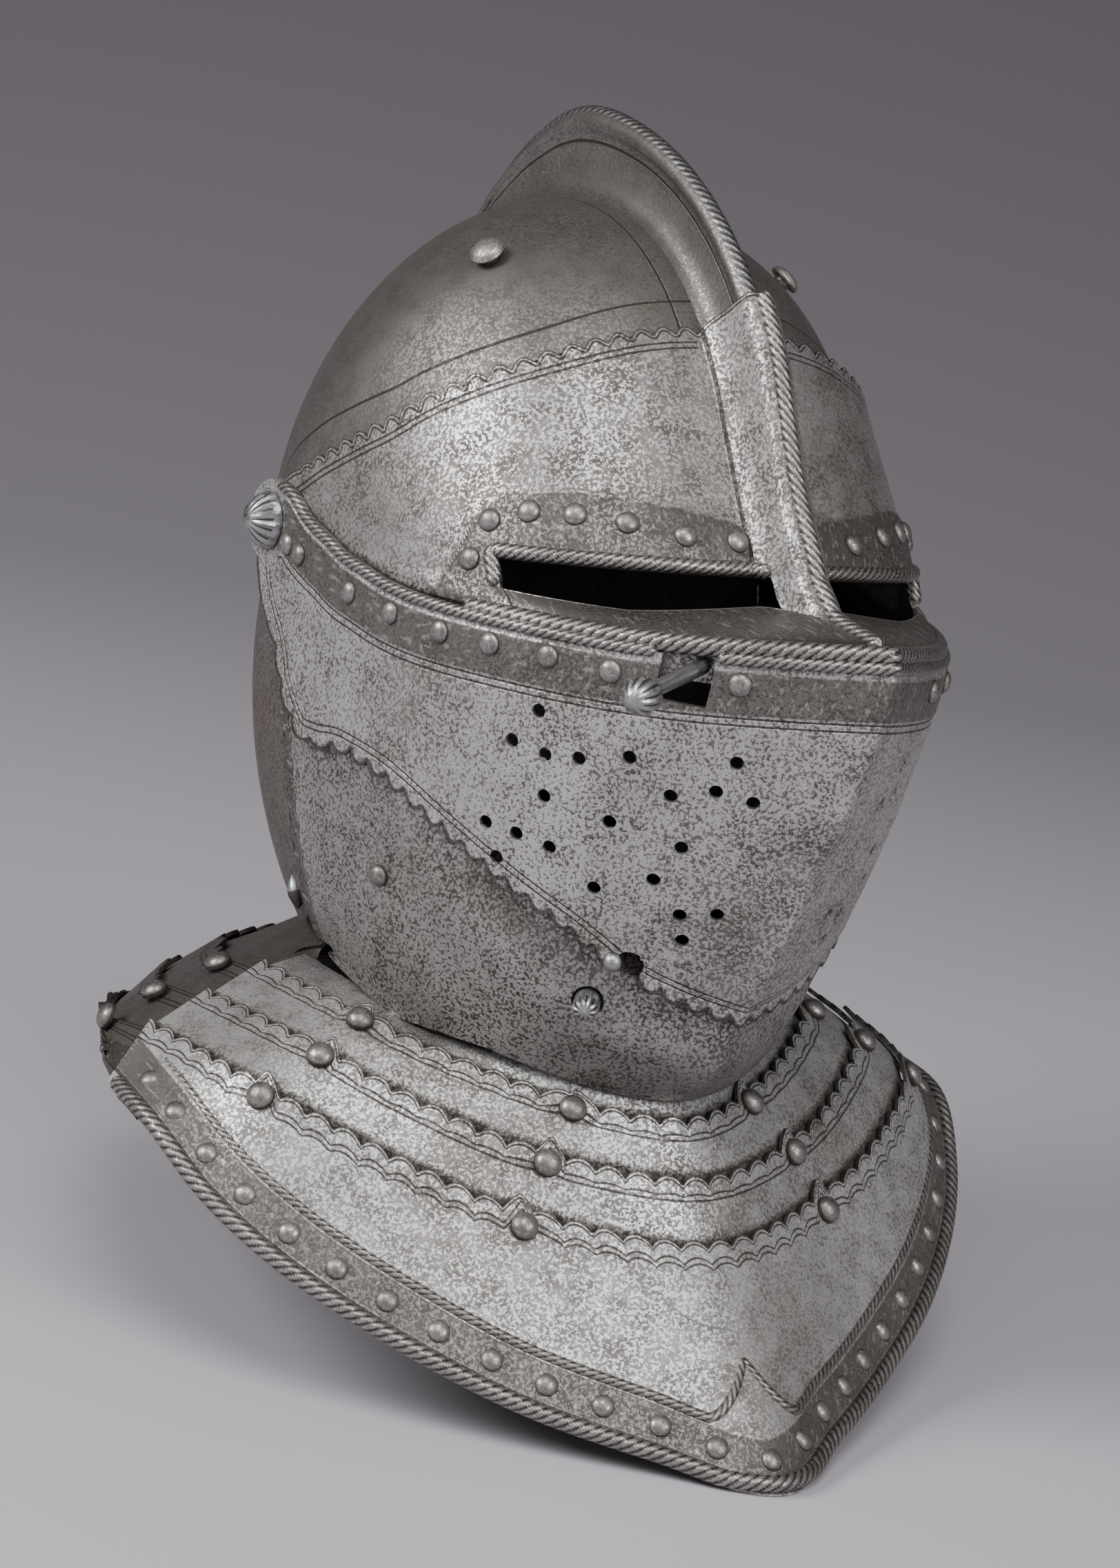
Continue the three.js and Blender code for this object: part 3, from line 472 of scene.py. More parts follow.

# %% [markdown]
# The visible plates of the face and gorget are the brightest, and the gorget is paler still. The chin's
# steel is painted darker, as shade under the overlapping upper bevor. The bowl, the comb and the nape have
# kept a dark, browned skin. Studs and peg were replaced or handled most, so they are clean and hardly
# pitted.

# %% The finishes of this helmet
BRIGHT, PIT_DARK = (0.58, 0.565, 0.55, 1), (0.07, 0.06, 0.053, 1)
# the chin plate's steel, painted darker as shade under the overlapping upper bevor
CHIN_SHADED = (0.4, 0.388, 0.375, 1)
PALE = (0.68, 0.665, 0.65, 1)
BROW = (0.47, 0.455, 0.445, 1)
DUSK, DUSK_PIT = (0.215, 0.2, 0.19, 1), (0.07, 0.062, 0.058, 1)
CLEAN_SHADE = (0.24, 0.24, 0.25, 1)
PAIR = [("edge", 5.2, 0.4), ("edge", 7.0, 0.4)]  # the two lines along a scalloped edge
EDGE_LINES = [*PAIR, ("lobe", 1.2, 0.35), ("lobe", 0.0, 0.45)]
BORDER_LINE = ("rim", 4.6, 0.9)
# painted shadow on a plate just above the scalloped edge of the plate below, which lies over it
OVERLAP_SHADE = [("under", 3.5)]
finishes = {
    # the bowl: painted shadow of the visor's scalloped edge, within 2.2 mm above it
    "skull": steel("skull_steel", DUSK, DUSK_PIT, 0.46, 0.6, 0.9,
                   lines=[("brow", 11.5, 0.45), ("crest", 13, 0.5)], painted_shade=[("under", 2.2)]),
    "comb": steel("comb_steel", DUSK, DUSK_PIT, 0.42, 0.45, 0.8, lines=[("rise", 0.62, 0.02)]),
    # the visor: painted shade within 3 mm of the floor mark's zero
    "visor": steel("visor_steel", BROW, PIT_DARK, 0.42, 0.85, 0.6,
                   lines=[*EDGE_LINES, ("ridge", 9.3, 0.5)], bands=[("band", 0.5, 2)],
                   painted_shade=[("floor", 3.0)]),
    # the upper bevor: its dark line at the scalloped lower edge, lobe 0, is partly a darker edge of the
    # plate and partly painted shadow
    "upper_bevor": steel("upper_bevor_steel", BRIGHT, PIT_DARK, 0.44, 0.85, 0.6,
                         lines=[*PAIR, ("lobe", 0.0, 1.0), ("rim", 15.6, 0.45), ("rim", 17.6, 0.45)],
                         bands=[("rim", 3.2, 14.6)]),
    # the chin: painted shadow of the upper bevor's edge, within 3 mm below it
    "lower_bevor": steel("lower_bevor_steel", CHIN_SHADED, PIT_DARK, 0.44, 0.95, 0.6,
                         lines=[("flank", 5.0, 0.45)], bands=[("flank", -4, 4.4)], painted_shade=[("under", 3.0)]),
    "lame": steel("lame_steel", PALE, PIT_DARK, 0.44, 0.8, 0.7, lines=EDGE_LINES, painted_shade=OVERLAP_SHADE),
    "gorget": steel("gorget_steel", PALE, PIT_DARK, 0.46, 0.75, 0.4,
                    lines=[*EDGE_LINES, BORDER_LINE], bands=[("rim", 5.4, 16.8)]),
    "nape": steel("nape_steel", DUSK, DUSK_PIT, 0.45, 0.7, 0.9, lines=EDGE_LINES, painted_shade=OVERLAP_SHADE),
    "nape_rim": steel("nape_rim_steel", DUSK, DUSK_PIT, 0.45, 0.7, 0.9,
                      lines=[*EDGE_LINES, BORDER_LINE], bands=[("rim", 5.4, 16)]),
    # the ropes carry painted shade in their nicks
    "rope": steel("rope_steel", (0.40, 0.385, 0.37, 1), DUSK_PIT, 0.36, 0.4, 0.8, nicks=True),
    "dark_rope": steel("dark_rope_steel", (0.24, 0.235, 0.235, 1), DUSK_PIT, 0.38, 0.3, 0.8, nicks=True),
    # rivets, studs and fittings: painted shade at the foot, up to the given share of their height
    "rivet": steel("rivet_steel", (0.33, 0.315, 0.30, 1), DUSK_PIT, 0.34, 0.4, 0.8, painted_shade=[("rise", 0.42)]),
    "clean": steel("clean_steel", (0.37, 0.38, 0.385, 1), CLEAN_SHADE, 0.3, 0.12, 0.1, painted_shade=[("rise", 0.1)]),
    # fluted fittings: the line at nick 1 is painted shade in the bottom of each flute
    "fluted": steel("fluted_steel", (0.40, 0.405, 0.40, 1), CLEAN_SHADE, 0.3, 0.2, 0.2,
                    lines=[("nick", 1.0, 0.12)], painted_shade=[("rise", 0.1)]),
    "stud": steel("stud_steel", (0.44, 0.41, 0.37, 1), DUSK_PIT, 0.42, 0.6, 0.5, painted_shade=[("rise", 0.3)]),
    "ear": steel("ear_steel", BRIGHT, PIT_DARK, 0.42, 0.8, 0.6),
    "dark_ear": steel("dark_ear_steel", DUSK, DUSK_PIT, 0.42, 0.5, 0.8),
}


def finish(piece, look):
    """Gives a piece its finish and hands it back."""
    piece.data.materials.clear()
    piece.data.materials.append(finishes[look])
    return piece


print("finishes:", ", ".join(finishes))

# %% [markdown]
# ## The skull
# The skull is one bowl, raised from a single plate, and the comb was drawn up out of it. Its section
# narrows from a round dome at the brow to a leaner shape at the back, and it stops level round the neck.
# A flat strip follows the visor's upper edge, bounded by an incised line.

# %% Skull
BROW_EDGE, NECK_Z, FLANK_EDGE = 27, -113, 268  # angle of the front edge, height of the neck, last angle
skull_r = smooth((20, 109.5), (50, 107), (85, 98), (130, 90), (180, 87), (215, 98), (238, 130), (268, 156))
skull_p = smooth((20, 2.3), (55, 2.25), (90, 1.78), (130, 1.5), (180, 1.48), (220, 1.8), (245, 2.3),
                 (268, 3))
brow_angle = smooth((9, 80), (18, 50), (33, 35.5), (53, 28.5), (70, 27.5), (98, 26.5), (112, 28))


def skull_at(column, angle):
    """x and rho of the bowl's section at each column and angle."""
    x, rho = section(column, SKULL_W, skull_r(angle), skull_p(angle), skull_p(angle))
    return np.sign(column) * x, rho


columns, _ = even_columns(lambda c: polar(*skull_at(c, np.full(c.shape, 60.0)), 60.0), 170)
angles = np.arange(180, FLANK_EDGE, 0.5)[:, None]
depth = skull_at(columns[None], angles + 0 * columns)[1] * np.sin(np.radians(angles))
below = depth < NECK_Z
low = np.where(below.any(0), angles[np.argmax(below, axis=0), 0], FLANK_EDGE)
low = np.convolve(np.pad(low, 2, mode="edge"), np.ones(5) / 5, mode="valid")
angle = BROW_EDGE + (low - BROW_EDGE) * np.linspace(0, 1, 190)[:, None]
x, rho = skull_at(columns[None] + 0 * angle, angle)
grid = polar(x, rho, angle)[::-1]
across = np.linspace(-1, 1, 600)
x_b, rho_b = section(across, VISOR_W, 112.0, 2.5, 2.5)
brow_line = polar(np.sign(across) * x_b, rho_b, brow_angle(rho_b))
brow = (distance(grid, brow_line)[::-1] * np.sign(angle - brow_angle(rho)))[::-1]
crest = (np.abs(x) + np.where(angle > 118, 40, 0))[::-1]
# under is the brow distance again, for the painted shadow of the visor's scalloped edge on the bowl
marks = {"brow": brow, "under": brow, "crest": crest}
skull = shell("skull_bowl", grid, "head", ["skull"], marks)
finish(skull, "skull")
print("skull ends at angles", low.min(), "to", low.max())

# %% [markdown]
# ## The comb
# The comb is a thin web with a hollow foot that grows out of the bowl. Its rim is rolled: a smooth bead
# runs along each side, and the crest between them is filed like a rope. Its outline rises from the brow,
# stands highest over the crown and runs out at the back.

# %% Comb and its roped crest
comb_crest = smooth((27, 127.3), (60, 127.3), (77, 126.5), (88, 119), (99, 109), (112, 98), (126, 91))
share = np.array([-0.06, 0.0, 0.05, 0.12, 0.22, 0.36, 0.55, 0.70, 0.74, 0.79, 0.85, 0.90, 0.94, 0.96])
half_width = np.array([10.0, 9.0, 6.0, 4.2, 3.1, 2.5, 2.1, 2.1, 2.7, 3.2, 3.2, 2.6, 2.0, 1.2])
arc = np.linspace(27, 126, 150)[:, None]
foot = skull_r(arc) - 1.0
crest = np.maximum(comb_crest(arc), foot + 1.5)
tall = np.clip((crest - foot) / 12, 0.25, 1)
radius = foot + (crest - foot) * share
width = half_width * np.where(share < 0.3, 1, tall)
side = polar(width, radius, arc)
ring = np.concatenate([side * [-1, 1, 1], side[:, ::-1]], axis=1)
rings = to_scene(ring) * 1000
marks = {"rise": np.concatenate([share + 0 * arc, (share + 0 * arc)[:, ::-1]], axis=1)}
comb = ringed("comb_web", rings, "head", ["skull"], marks)
finish(comb, "comb")
arc = np.linspace(28, 124, 220)
crest = np.maximum(comb_crest(arc), skull_r(arc) + 0.5)
roll = np.interp(arc, [28, 90, 124], [2.7, 2.6, 1.5])
path = polar(0 * arc, crest - roll, arc)
outward = polar(0 * arc, 1 + 0 * arc, arc)
finish(tube("comb_rope", path, outward, "head", "dark_steel", roll, **HEAVY), "dark_rope")
print("comb stands", round(float((crest - skull_r(arc)).max()), 1), "mm above the bowl")

# %% [markdown]
# ## The visor
# The visor is one plate from its scalloped upper edge down over the brow, past the sights, to a ledge that
# sits on the bevor's rim. It is drawn as stations down the plate, each with its own section, and the grid
# is read between them. The two sights are cells left out between the fifth and sixth stations.

# %% Visor
RIDGE_HALF = 10  # half width of the ridge at its foot, mm
RIM_R, RIM_P, CHEEK_Q = 183.0, 1.0, 3.1  # the bevor's section along its rim
rim_angle = smooth((12, 50), (20.5, 2), (38, -14), (54, -17.6), (72, -18.6), (105, -17.2), (141, -15.9),
                   (165, -14.6), (183, -13.6))
ridge_shape = smooth((0, 1), (0.45, 0.95), (0.6, 0.5), (0.8, 0.15), (1, 0))


def rim_at(column):
    """The rim line's angle for each column, read by its distance from the pivot axis."""
    return rim_angle(section(column, UPPER_W, RIM_R, RIM_P, CHEEK_Q)[1])


def top_at(column):
    """The scalloped edge's angle for each column."""
    return brow_angle(section(column, VISOR_W, 112.0, 2.5, 2.5)[1])


def rim_line(column):
    """Helmet points along the bevor's rim."""
    x, rho = section(column, UPPER_W, RIM_R, RIM_P, CHEEK_Q)
    return polar(np.sign(column) * x, rho, rim_at(column))


def column_of(x, W):
    """The column that stands at a given x, for the part of the section that is set by x."""
    return x / W / SPLIT_X * SPLIT


STATIONS = [
    [112, 112.6, 114, 118.5, 127, 133, 155, 180.5, 179.5, 176.5, 174.5],  # reach of the section
    [2.5, 2.5, 2.6, 2.7, 2.6, 2.5, 1.7, 1, 1, 1, 1],  # its power across
    [2.5, 2.5, 2.6, 2.7, 2.8, 2.9, 3, 3.1, 3.1, 3.1, 3.1],  # its power forward
    [130.2, 130.2, 130.2, 134, 144, 152, 160, 180.5, 179.5, 176.5, 174.5],  # crest of the ridge
]


def visor_at(column, step):
    """Visor points (x, rho, angle) for columns across and a station number from 0 down to 10."""
    bend = [smooth(*enumerate(v)) for v in STATIONS]
    straight = [np.interp(step, range(11), v) for v in STATIONS]
    R, p, q, crest = [np.where(step < 6, f(step), flat) for f, flat in zip(bend, straight)]
    rim = rim_at(column)
    upper = np.maximum(-7.6, rim + 5.5)
    lower = np.maximum(-12.8, rim + 3.0)
    top = top_at(column)
    levels = [top + (upper - top) * share for share in (0, 0.25, 0.5, 0.75, 1)]
    levels = np.stack([*levels, lower, rim + 2.2, rim + 1.1, rim + 0.5, rim - 0.6, rim - 3.2])
    k = np.clip(step.astype(int), 0, 9)
    pick = np.arange(column.shape[-1])[None] + 0 * k
    angle = levels[k, pick] + (levels[k + 1, pick] - levels[k, pick]) * (step - k)
    x, rho = section(column + 0 * angle, VISOR_W, R, p, q)
    x = np.sign(column) * x
    across = np.abs(x) / RIDGE_HALF
    rho = rho + (crest - R) * np.where(across < 1, ridge_shape(across), 0)
    return x, rho, angle


sight_columns = [column_of(x, VISOR_W) for x in (-70, -7, 7, 70)]
columns, along = even_columns(rim_line, 430, sight_columns)
steps = np.concatenate([np.linspace(0, 4, 46, endpoint=False), np.linspace(4, 5, 7, endpoint=False),
                        np.linspace(5, 7, 26, endpoint=False), np.linspace(7, 10, 9)])
x, rho, angle = visor_at(columns, steps[:, None] + 0 * columns)
bite = scallop(along, 9.0, 3.2) * np.clip((rho[0] - 16) / 12, 0, 1) * np.clip((np.abs(x[0]) - 5) / 3, 0, 1)
cut = np.degrees(bite / rho[0]) * np.clip(1 - steps[:, None] / 1.2, 0, 1)
top_line = polar(x[0], rho[0], angle[0])
band_top = np.interp(np.abs(x), [10, 20, 55, 67, 72.5, 79], [-1.4, -0.2, 2.8, 2.2, -1.6, -15])
in_band = np.clip((band_top - angle) / 0.5, 0, 1) * (np.abs(x) > RIDGE_HALF) * (np.abs(x) < 80)
in_band = in_band * ((steps[:, None] < 4.6) | ((np.abs(x) > 70) & (steps[:, None] < 6.6)))
lift = 0.7 * in_band
angle = angle - cut
middle = np.abs(columns[:-1] + columns[1:]) / 2
sights = ((steps[:-1, None] >= 4) & (steps[:-1, None] < 5)
          & (middle > sight_columns[2]) & (middle < sight_columns[3]))
grid = polar(x, rho, angle)
marks = {
    "edge": distance(grid, top_line) + np.where(np.abs(x) < 11, 20, 0),
    "lobe": distance(grid, grid[0]),
    "band": np.maximum(in_band, (steps[:, None] > 5) & (steps[:, None] < 7) & (np.abs(x) < 74)),
    "ridge": np.abs(x) + np.where(steps[:, None] > 5, 40, 0),
    # floor places painted shade: at the foot of the ledge in the middle, and under the bevor's rim at the
    # sides
    "floor": np.where(np.abs(x) < 74, np.where(steps[:, None] > 5, np.abs(6.6 - steps[:, None]) * 8, 50),
                      (angle - rim_at(columns)) * MM_PER_DEGREE * rho - 1.5),
}
visor = shell("visor_plate", grid, "visor", ["visor"], marks, sights, lift=lift)
finish(visor, "visor")
print("cells left out for the sights:", int(sights.sum()))

# %% [markdown]
# ## The ropes of the visor
# Three turned edges of the visor are filed as ropes: the crest of the ridge between the eyes, the line round
# the top and the outer end of each sight, and the heavy ledge that rests on the bevor.

# %% Visor ropes
def face_normals(points):
    """Outward directions for a line on a plate: away from the pivot axis and outwards to the side."""
    out = points * [0.35, 1, 1]
    return out / np.linalg.norm(out, axis=-1, keepdims=True)


down = np.linspace(0, 6.7, 200)[:, None]
x_mid, rho_mid, angle_mid = visor_at(np.zeros(1), down)
path = polar(x_mid[:, 0], rho_mid[:, 0] + 0.3, angle_mid[:, 0])
finish(tube("ridge_rope", path, face_normals(path), "visor", "pitted_steel", 2.3, **HEAVY), "rope")
reach = column_of(76, VISOR_W)
across = np.linspace(-reach, reach, 400)
x_ledge, rho_ledge, angle_ledge = visor_at(across, np.full((1, 400), 7.3))
path = polar(x_ledge[0], rho_ledge[0] - 0.6, angle_ledge[0])
heavier = {**HEAVY, "pitch": 3.1}
finish(tube("ledge_rope", path, face_normals(path), "visor", "pitted_steel", 2.8, **heavier), "rope")
for side, name in ((-1, "right"), (1, "left")):
    over = side * np.linspace(sight_columns[2], sight_columns[3], 90)
    xs, rs, an = visor_at(over, np.full((1, 90), 3.93))
    top = polar(xs[0], rs[0] + 0.5, an[0])
    xs, rs, an = visor_at(np.full(12, side * sight_columns[3] * 1.015), np.linspace(4.0, 5.0, 12)[None])
    path = np.concatenate([top, polar(xs[0], rs[0] + 0.5, an[0])])
    rope = tube(f"sight_rope_{name}", path, face_normals(path), "visor", "pitted_steel", 2.2, strands=6)
    finish(rope, "rope")
print("visor ropes done; ropes so far:", sum("rope" in name for name in PIECES))

# %% [markdown]
# ## The two bevors' surfaces
# Both bevors are fans of sections about the pivots, a sharp prow in front that rounds out towards the chin.
# To pierce a plate, the grid points close to a hole are pulled onto its edge, and the cells inside it are
# left out, so the wall of the hole is closed like any edge.

# %% Bevor surfaces and piercing
CHIN_Q = 3.0
KEEL, KEEL_REACH = 2.4, 9  # how far the keel stands out, and how fast it fades sideways, mm
upper_r = smooth((-95, 184), (-75, 190), (-62, 184), (-51.7, 175.3), (-49, 173.6), (-33, 171.4),
                 (-17.6, 180.8), (-13.3, 183))
upper_p = smooth((-95, 3), (-75, 2.5), (-62, 1.9), (-50, 1.45), (-33, 1.32), (-13, 1))
upper_low = smooth((10, -130), (16, -108), (26, -88), (37, -83), (47, -77), (54, -69), (64, -61),
                   (82, -54.5), (108, -51.4), (140, -50.6), (157, -51.7), (176, -52))
lower_r = smooth((-95, 155), (-91, 159), (-85, 168), (-75, 183), (-65, 181), (-58, 180.5), (-54, 175.5),
                 (-52, 172.4), (-45, 168.5), (-30, 166), (-10, 166))
lower_p = smooth((-95, 3), (-85, 2.8), (-75, 2.4), (-65, 1.8), (-58, 1.5), (-50, 1.3), (-30, 1.05))


def on_upper(x, angle):
    """A point of the upper bevor at a given x and angle."""
    return surface_point(x, angle, UPPER_W, upper_r, upper_p, CHEEK_Q)


def on_lower(x, angle):
    """A point of the lower bevor at a given x and angle."""
    return surface_point(x, angle, LOWER_W, lower_r, lower_p, CHIN_Q)


def keel(x, angle):
    """The crease in the middle: KEEL * e^(-|x| / KEEL_REACH), running out below the rim."""
    return KEEL * np.exp(-np.abs(x) / KEEL_REACH) * np.clip((-16 - angle) / 12, 0, 1)


def upper_at(column, angle):
    """x and rho of the upper bevor's section at each column and angle."""
    x, rho = section(column, UPPER_W, upper_r(angle), upper_p(angle), CHEEK_Q)
    return np.sign(column) * x, rho


def lower_at(column, angle):
    """x and rho of the lower bevor's section at each column and angle."""
    x, rho = section(column, LOWER_W, lower_r(angle), lower_p(angle), CHIN_Q)
    return np.sign(column) * x, rho


def cover_angle(column):
    """The angle of the upper bevor's lower edge, before its scallops, for each column."""
    return upper_low(np.minimum(section(column, UPPER_W, RIM_R, RIM_P, CHEEK_Q)[1], 175))


def normal_of(surface, x, angle):
    """The surface's outward normal, from half a millimetre across crossed with half a degree up."""
    x, angle = np.asarray(x, float), np.asarray(angle, float)
    across = surface(x + 0.5, angle) - surface(x - 0.5, angle)
    up = surface(x, angle + 0.5) - surface(x, angle - 0.5)
    n = np.cross(up, across)
    return n / np.linalg.norm(n, axis=-1, keepdims=True)


def pierce(grid, is_open, start, end, radius, slack=0.75):
    """Opens a round hole, or a slot from start to end: points nearer than slack to the edge move onto it."""
    run = end - start
    t = np.clip(((grid - start) @ run) / max(run @ run, 1e-9), 0, 1)[..., None]
    away = grid - (start + t * run)
    d = np.linalg.norm(away, axis=-1, keepdims=True)
    near = np.abs(d - radius) < slack
    grid = np.where(near, start + t * run + away * radius / np.maximum(d, 1e-6), grid)
    inside = np.where(near, radius, d)[..., 0] <= radius + 1e-6
    cell = inside[:-1, :-1] & inside[1:, :-1] & inside[1:, 1:] & inside[:-1, 1:]
    return grid, is_open | cell


stud_at, button_at = on_lower(np.array([-32.5, -36.0]), np.array([-51.2, -56.4]))
print("catch stud at", stud_at.round(1), "and its button at", button_at.round(1))

# %% [markdown]
# ## The upper bevor
# This plate covers the nose and cheeks below the sights. Its rim is roped and riveted, with a notch for the
# lifting peg on the wearer's right. Its lower edge is scalloped, and both cheeks are pierced for breath.

# %% Upper bevor
BREATH_R, CATCH_R = 1.95, 4.1
BREATHS = [
    (65, -27), (67.5, -32.5), (62, -32), (56.5, -30.5), (48, -28), (27.5, -25), (29.5, -28.5), (38, -30.5),
    (21, -28.5), (60, -37), (67, -45), (62, -43.5), (47.5, -36), (63.5, -48), (56, -42.5), (32, -35.5),
    (35, -40), (45.5, -44), (26.5, -42.5), (18.5, -41), (23.5, -45),
]
NOTCH_X, NOTCH_DEPTH = (-47, -37), 0.14  # the depth is a share of the bevor's own
notch_columns = [column_of(x, UPPER_W) for x in NOTCH_X]
columns, along = even_columns(rim_line, 400, notch_columns)
low_base = cover_angle(columns)
share = np.linspace(0, 1, 116)[:, None]
share[np.argmin(np.abs(share - NOTCH_DEPTH))] = NOTCH_DEPTH
top = rim_at(columns)
angle = top + (low_base - top) * share
x, rho = upper_at(columns + 0 * angle, angle)
bite = scallop(along + 1, 8.0, 3.0) * np.clip((rho[-1] - 24) / 20, 0, 1)
angle_cut = angle + np.degrees(bite / rho[-1]) * np.clip((share - 0.75) / 0.25, 0, 1)
x, rho = upper_at(columns + 0 * angle, angle_cut)
grid = polar(x, rho + keel(x, angle_cut), angle_cut)
mid = (columns[:-1] + columns[1:]) / 2
is_open = (share[:-1] < NOTCH_DEPTH - 1e-4) & (mid > notch_columns[0]) & (mid < notch_columns[1])
centres = np.array([(side * x_hole, at) for x_hole, at in BREATHS for side in (-1, 1)])
for centre in on_upper(centres[:, 0], centres[:, 1]):
    grid, is_open = pierce(grid, is_open, centre, centre, BREATH_R)
rim = distance(grid, rim_line(np.linspace(-1, 1, 900)))
low_line = polar(*upper_at(columns, low_base), low_base)
edge = np.where(rim < 18.5, 30, distance(grid, low_line))
marks = {"rim": rim, "edge": edge, "lobe": distance(grid, grid[-1]) - 0.5}
grid, is_open = pierce(grid, is_open, on_upper(-32.0, -50.0), on_upper(-34.8, -56.0), CATCH_R)
lift = 0.5 * np.clip((rim - 2.6) / 0.6, 0, 1) * np.clip((14.9 - rim) / 0.6, 0, 1)
bevor = shell("upper_bevor_plate", grid, "upper_bevor", ["upper_bevor"], marks, is_open,
              lift)
finish(bevor, "upper_bevor")
print("breath holes:", len(centres))

# %% Ropes of the bevor's rim
right = rim_line(np.linspace(-0.995, notch_columns[0] - 0.004, 160))
left = rim_line(np.linspace(notch_columns[1] + 0.004, 0.995, 420))
for name, path in (("right", right), ("left", left)):
    path = path * [1, 0.9965, 0.9965]
    finish(tube(f"rim_rope_{name}", path, face_normals(path), "upper_bevor", "pitted_steel", 1.8), "rope")
print("the rim's rope is left open for the peg between x =", NOTCH_X, "mm")

# %% [markdown]
# ## The lower bevor
# The innermost front plate guards the chin and throat. It is plainer: two holes for the catch, a slot for
# the neck hook, and a scalloped edge with one line along it up the side of the neck.

# %% Lower bevor
lower_top = smooth((10, 40), (20, 2), (45, -22), (90, -34), (165, -39))
throat = smooth((0, -63.3), (30, -65.4), (48, -68), (57, -70.8), (60, -72.3), (63, -74.6), (67, -80),
                (70, -88), (73, -90.3))
columns, _ = even_columns(rim_line, 360)
low_base = throat(LOWER_W * SPLIT_X * np.abs(columns) / SPLIT)
top = lower_top(section(columns, LOWER_W, 166.0, 1.05, CHIN_Q)[1])
share = np.linspace(0, 1, 100)[:, None]
angle = top + (low_base - top) * share
x, rho = lower_at(columns + 0 * angle, angle)
bite = scallop(rho[-1]) * np.clip((np.abs(columns) - 0.67) / 0.02, 0, 1) * np.clip((rho[-1] - 22) / 10, 0, 1)
angle_cut = angle + np.degrees(bite / rho[-1]) * np.clip((share - 0.8) / 0.2, 0, 1)
x, rho = lower_at(columns + 0 * angle, angle_cut)
grid = polar(x, rho + keel(x, angle_cut) * np.clip((angle_cut + 64) / 8, 0, 1), angle_cut)
is_open = np.zeros((len(share) - 1, len(columns) - 1), bool)
for spot, radius in ((stud_at, 3.3), (button_at, 4.5)):
    grid, is_open = pierce(grid, is_open, spot, spot, radius)
grid, is_open = pierce(grid, is_open, on_lower(-70.8, -86.0), on_lower(-70.8, -88.2), 1.9)
flank = np.where((np.abs(columns) > 0.6) & (rho > 24), (angle - low_base) * MM_PER_DEGREE * rho, 30)
# under: distance below the upper bevor's lower edge, for the painted shadow of that edge
marks = {"flank": flank, "under": (cover_angle(columns) - angle) * MM_PER_DEGREE * rho}
chin = shell("lower_bevor_plate", grid, "lower_bevor", ["lower_bevor"], marks, is_open)
finish(chin, "lower_bevor")
print("two catch holes and a hook slot opened:", int(is_open.sum()), "cells")

# %% [markdown]
# ## The gorget
# Four plates in front and four behind spread from the neck onto the shoulders. They follow five rings in
# space, and each plate lies over the one above. The last front plate comes down to a point, and its border
# is turned, roped and riveted. The two big plates are ground level where the helmet stands.

# %% Gorget surface
def curve(points):
    """A function from 0 to 1 along a smooth curve through points: between each two, a cubic whose end
    slopes are (next - last) / (their chord parameters), then read evenly by its length."""
    p = np.array(points, float)
    t = np.concatenate([[0], np.cumsum(np.linalg.norm(np.diff(p, axis=0), axis=1) ** 0.5)])
    wide = np.concatenate([[2 * t[0] - t[1]], t, [2 * t[-1] - t[-2]]])
    long = np.concatenate([[2 * p[0] - p[1]], p, [2 * p[-1] - p[-2]]])
    slope = (long[2:] - long[:-2]) / (wide[2:] - wide[:-2])[:, None]
    u = np.linspace(0, 1, 24, endpoint=False)[:, None, None]
    h = np.diff(t)[None, :, None]
    runs = ((2 * u**3 - 3 * u**2 + 1) * p[:-1] + (u**3 - 2 * u**2 + u) * h * slope[:-1]
            + (3 * u**2 - 2 * u**3) * p[1:] + (u**3 - u**2) * h * slope[1:])
    line = np.vstack([runs.transpose(1, 0, 2).reshape(-1, 3), p[-1]])
    length = np.concatenate([[0], np.cumsum(np.linalg.norm(np.diff(line, axis=0), axis=1))])
    return lambda s: np.stack([np.interp(s * length[-1], length, line[:, k]) for k in range(3)], -1)


TIP = (0, 133, -265)


def ground(f):
    """The height in the helmet's frame of a point 2.5 mm under the ground, at a given f."""
    return TIP[2] + (TIP[1] - f) * SLOPE - 2.5


FRONT = [
    [(0, 76, -157), (30, 67, -153), (57, 44, -144), (67, 14, -131), (70, -8, -124)],
    [(0, 81, -167), (28, 70, -162), (57, 52, -150), (77, 31, -138), (84, -5, -127)],
    [(0, 88, -183), (40, 76, -175), (70, 58, -162), (92, 37, -147), (102, -5, -135)],
    [(0, 95, -200.5), (52, 77, -189.5), (84, 62, -174), (109, 39, -157), (120, -5, -143)],
    [TIP, (30, 117, -255), (60, 98, -243), (89, 80, -226), (112, 61, -208), (128, 43, -189),
     (137, 25, -169), (137, 0, -158)],
]
REAR = [
    [(69, -20, -120), (62, -37, -115.5), (49, -55, -111), (27, -69, -108), (0, -74, -107)],
    [(81, -38, -123), (58, -75, -118), (0, -88, -114)],
    [(99, -45, -131), (68, -90, -126), (0, -104, -122)],
    [(115, -52, -140), (78, -103, -139), (0, -118, -138)],
    [(128, -28, -152), (110, -60, -153), (86, -92, -163), (50, -119, ground(-119)), (25, -126, ground(-126)),
     (0, -128, ground(-128))],
]
flip = np.array([-1, 1, 1])
front_curves = [curve([np.array(q) * flip for q in f[:0:-1]] + f) for f in FRONT]
rear_curves = [curve([f[-1], *r] + [np.array(q) * flip for q in r[-2::-1]]) for f, r in zip(FRONT, REAR)]
REAR_UNDER, SHINGLE = 4.4, 2.6  # the rear half lies this far under, and each upper edge stands off this far


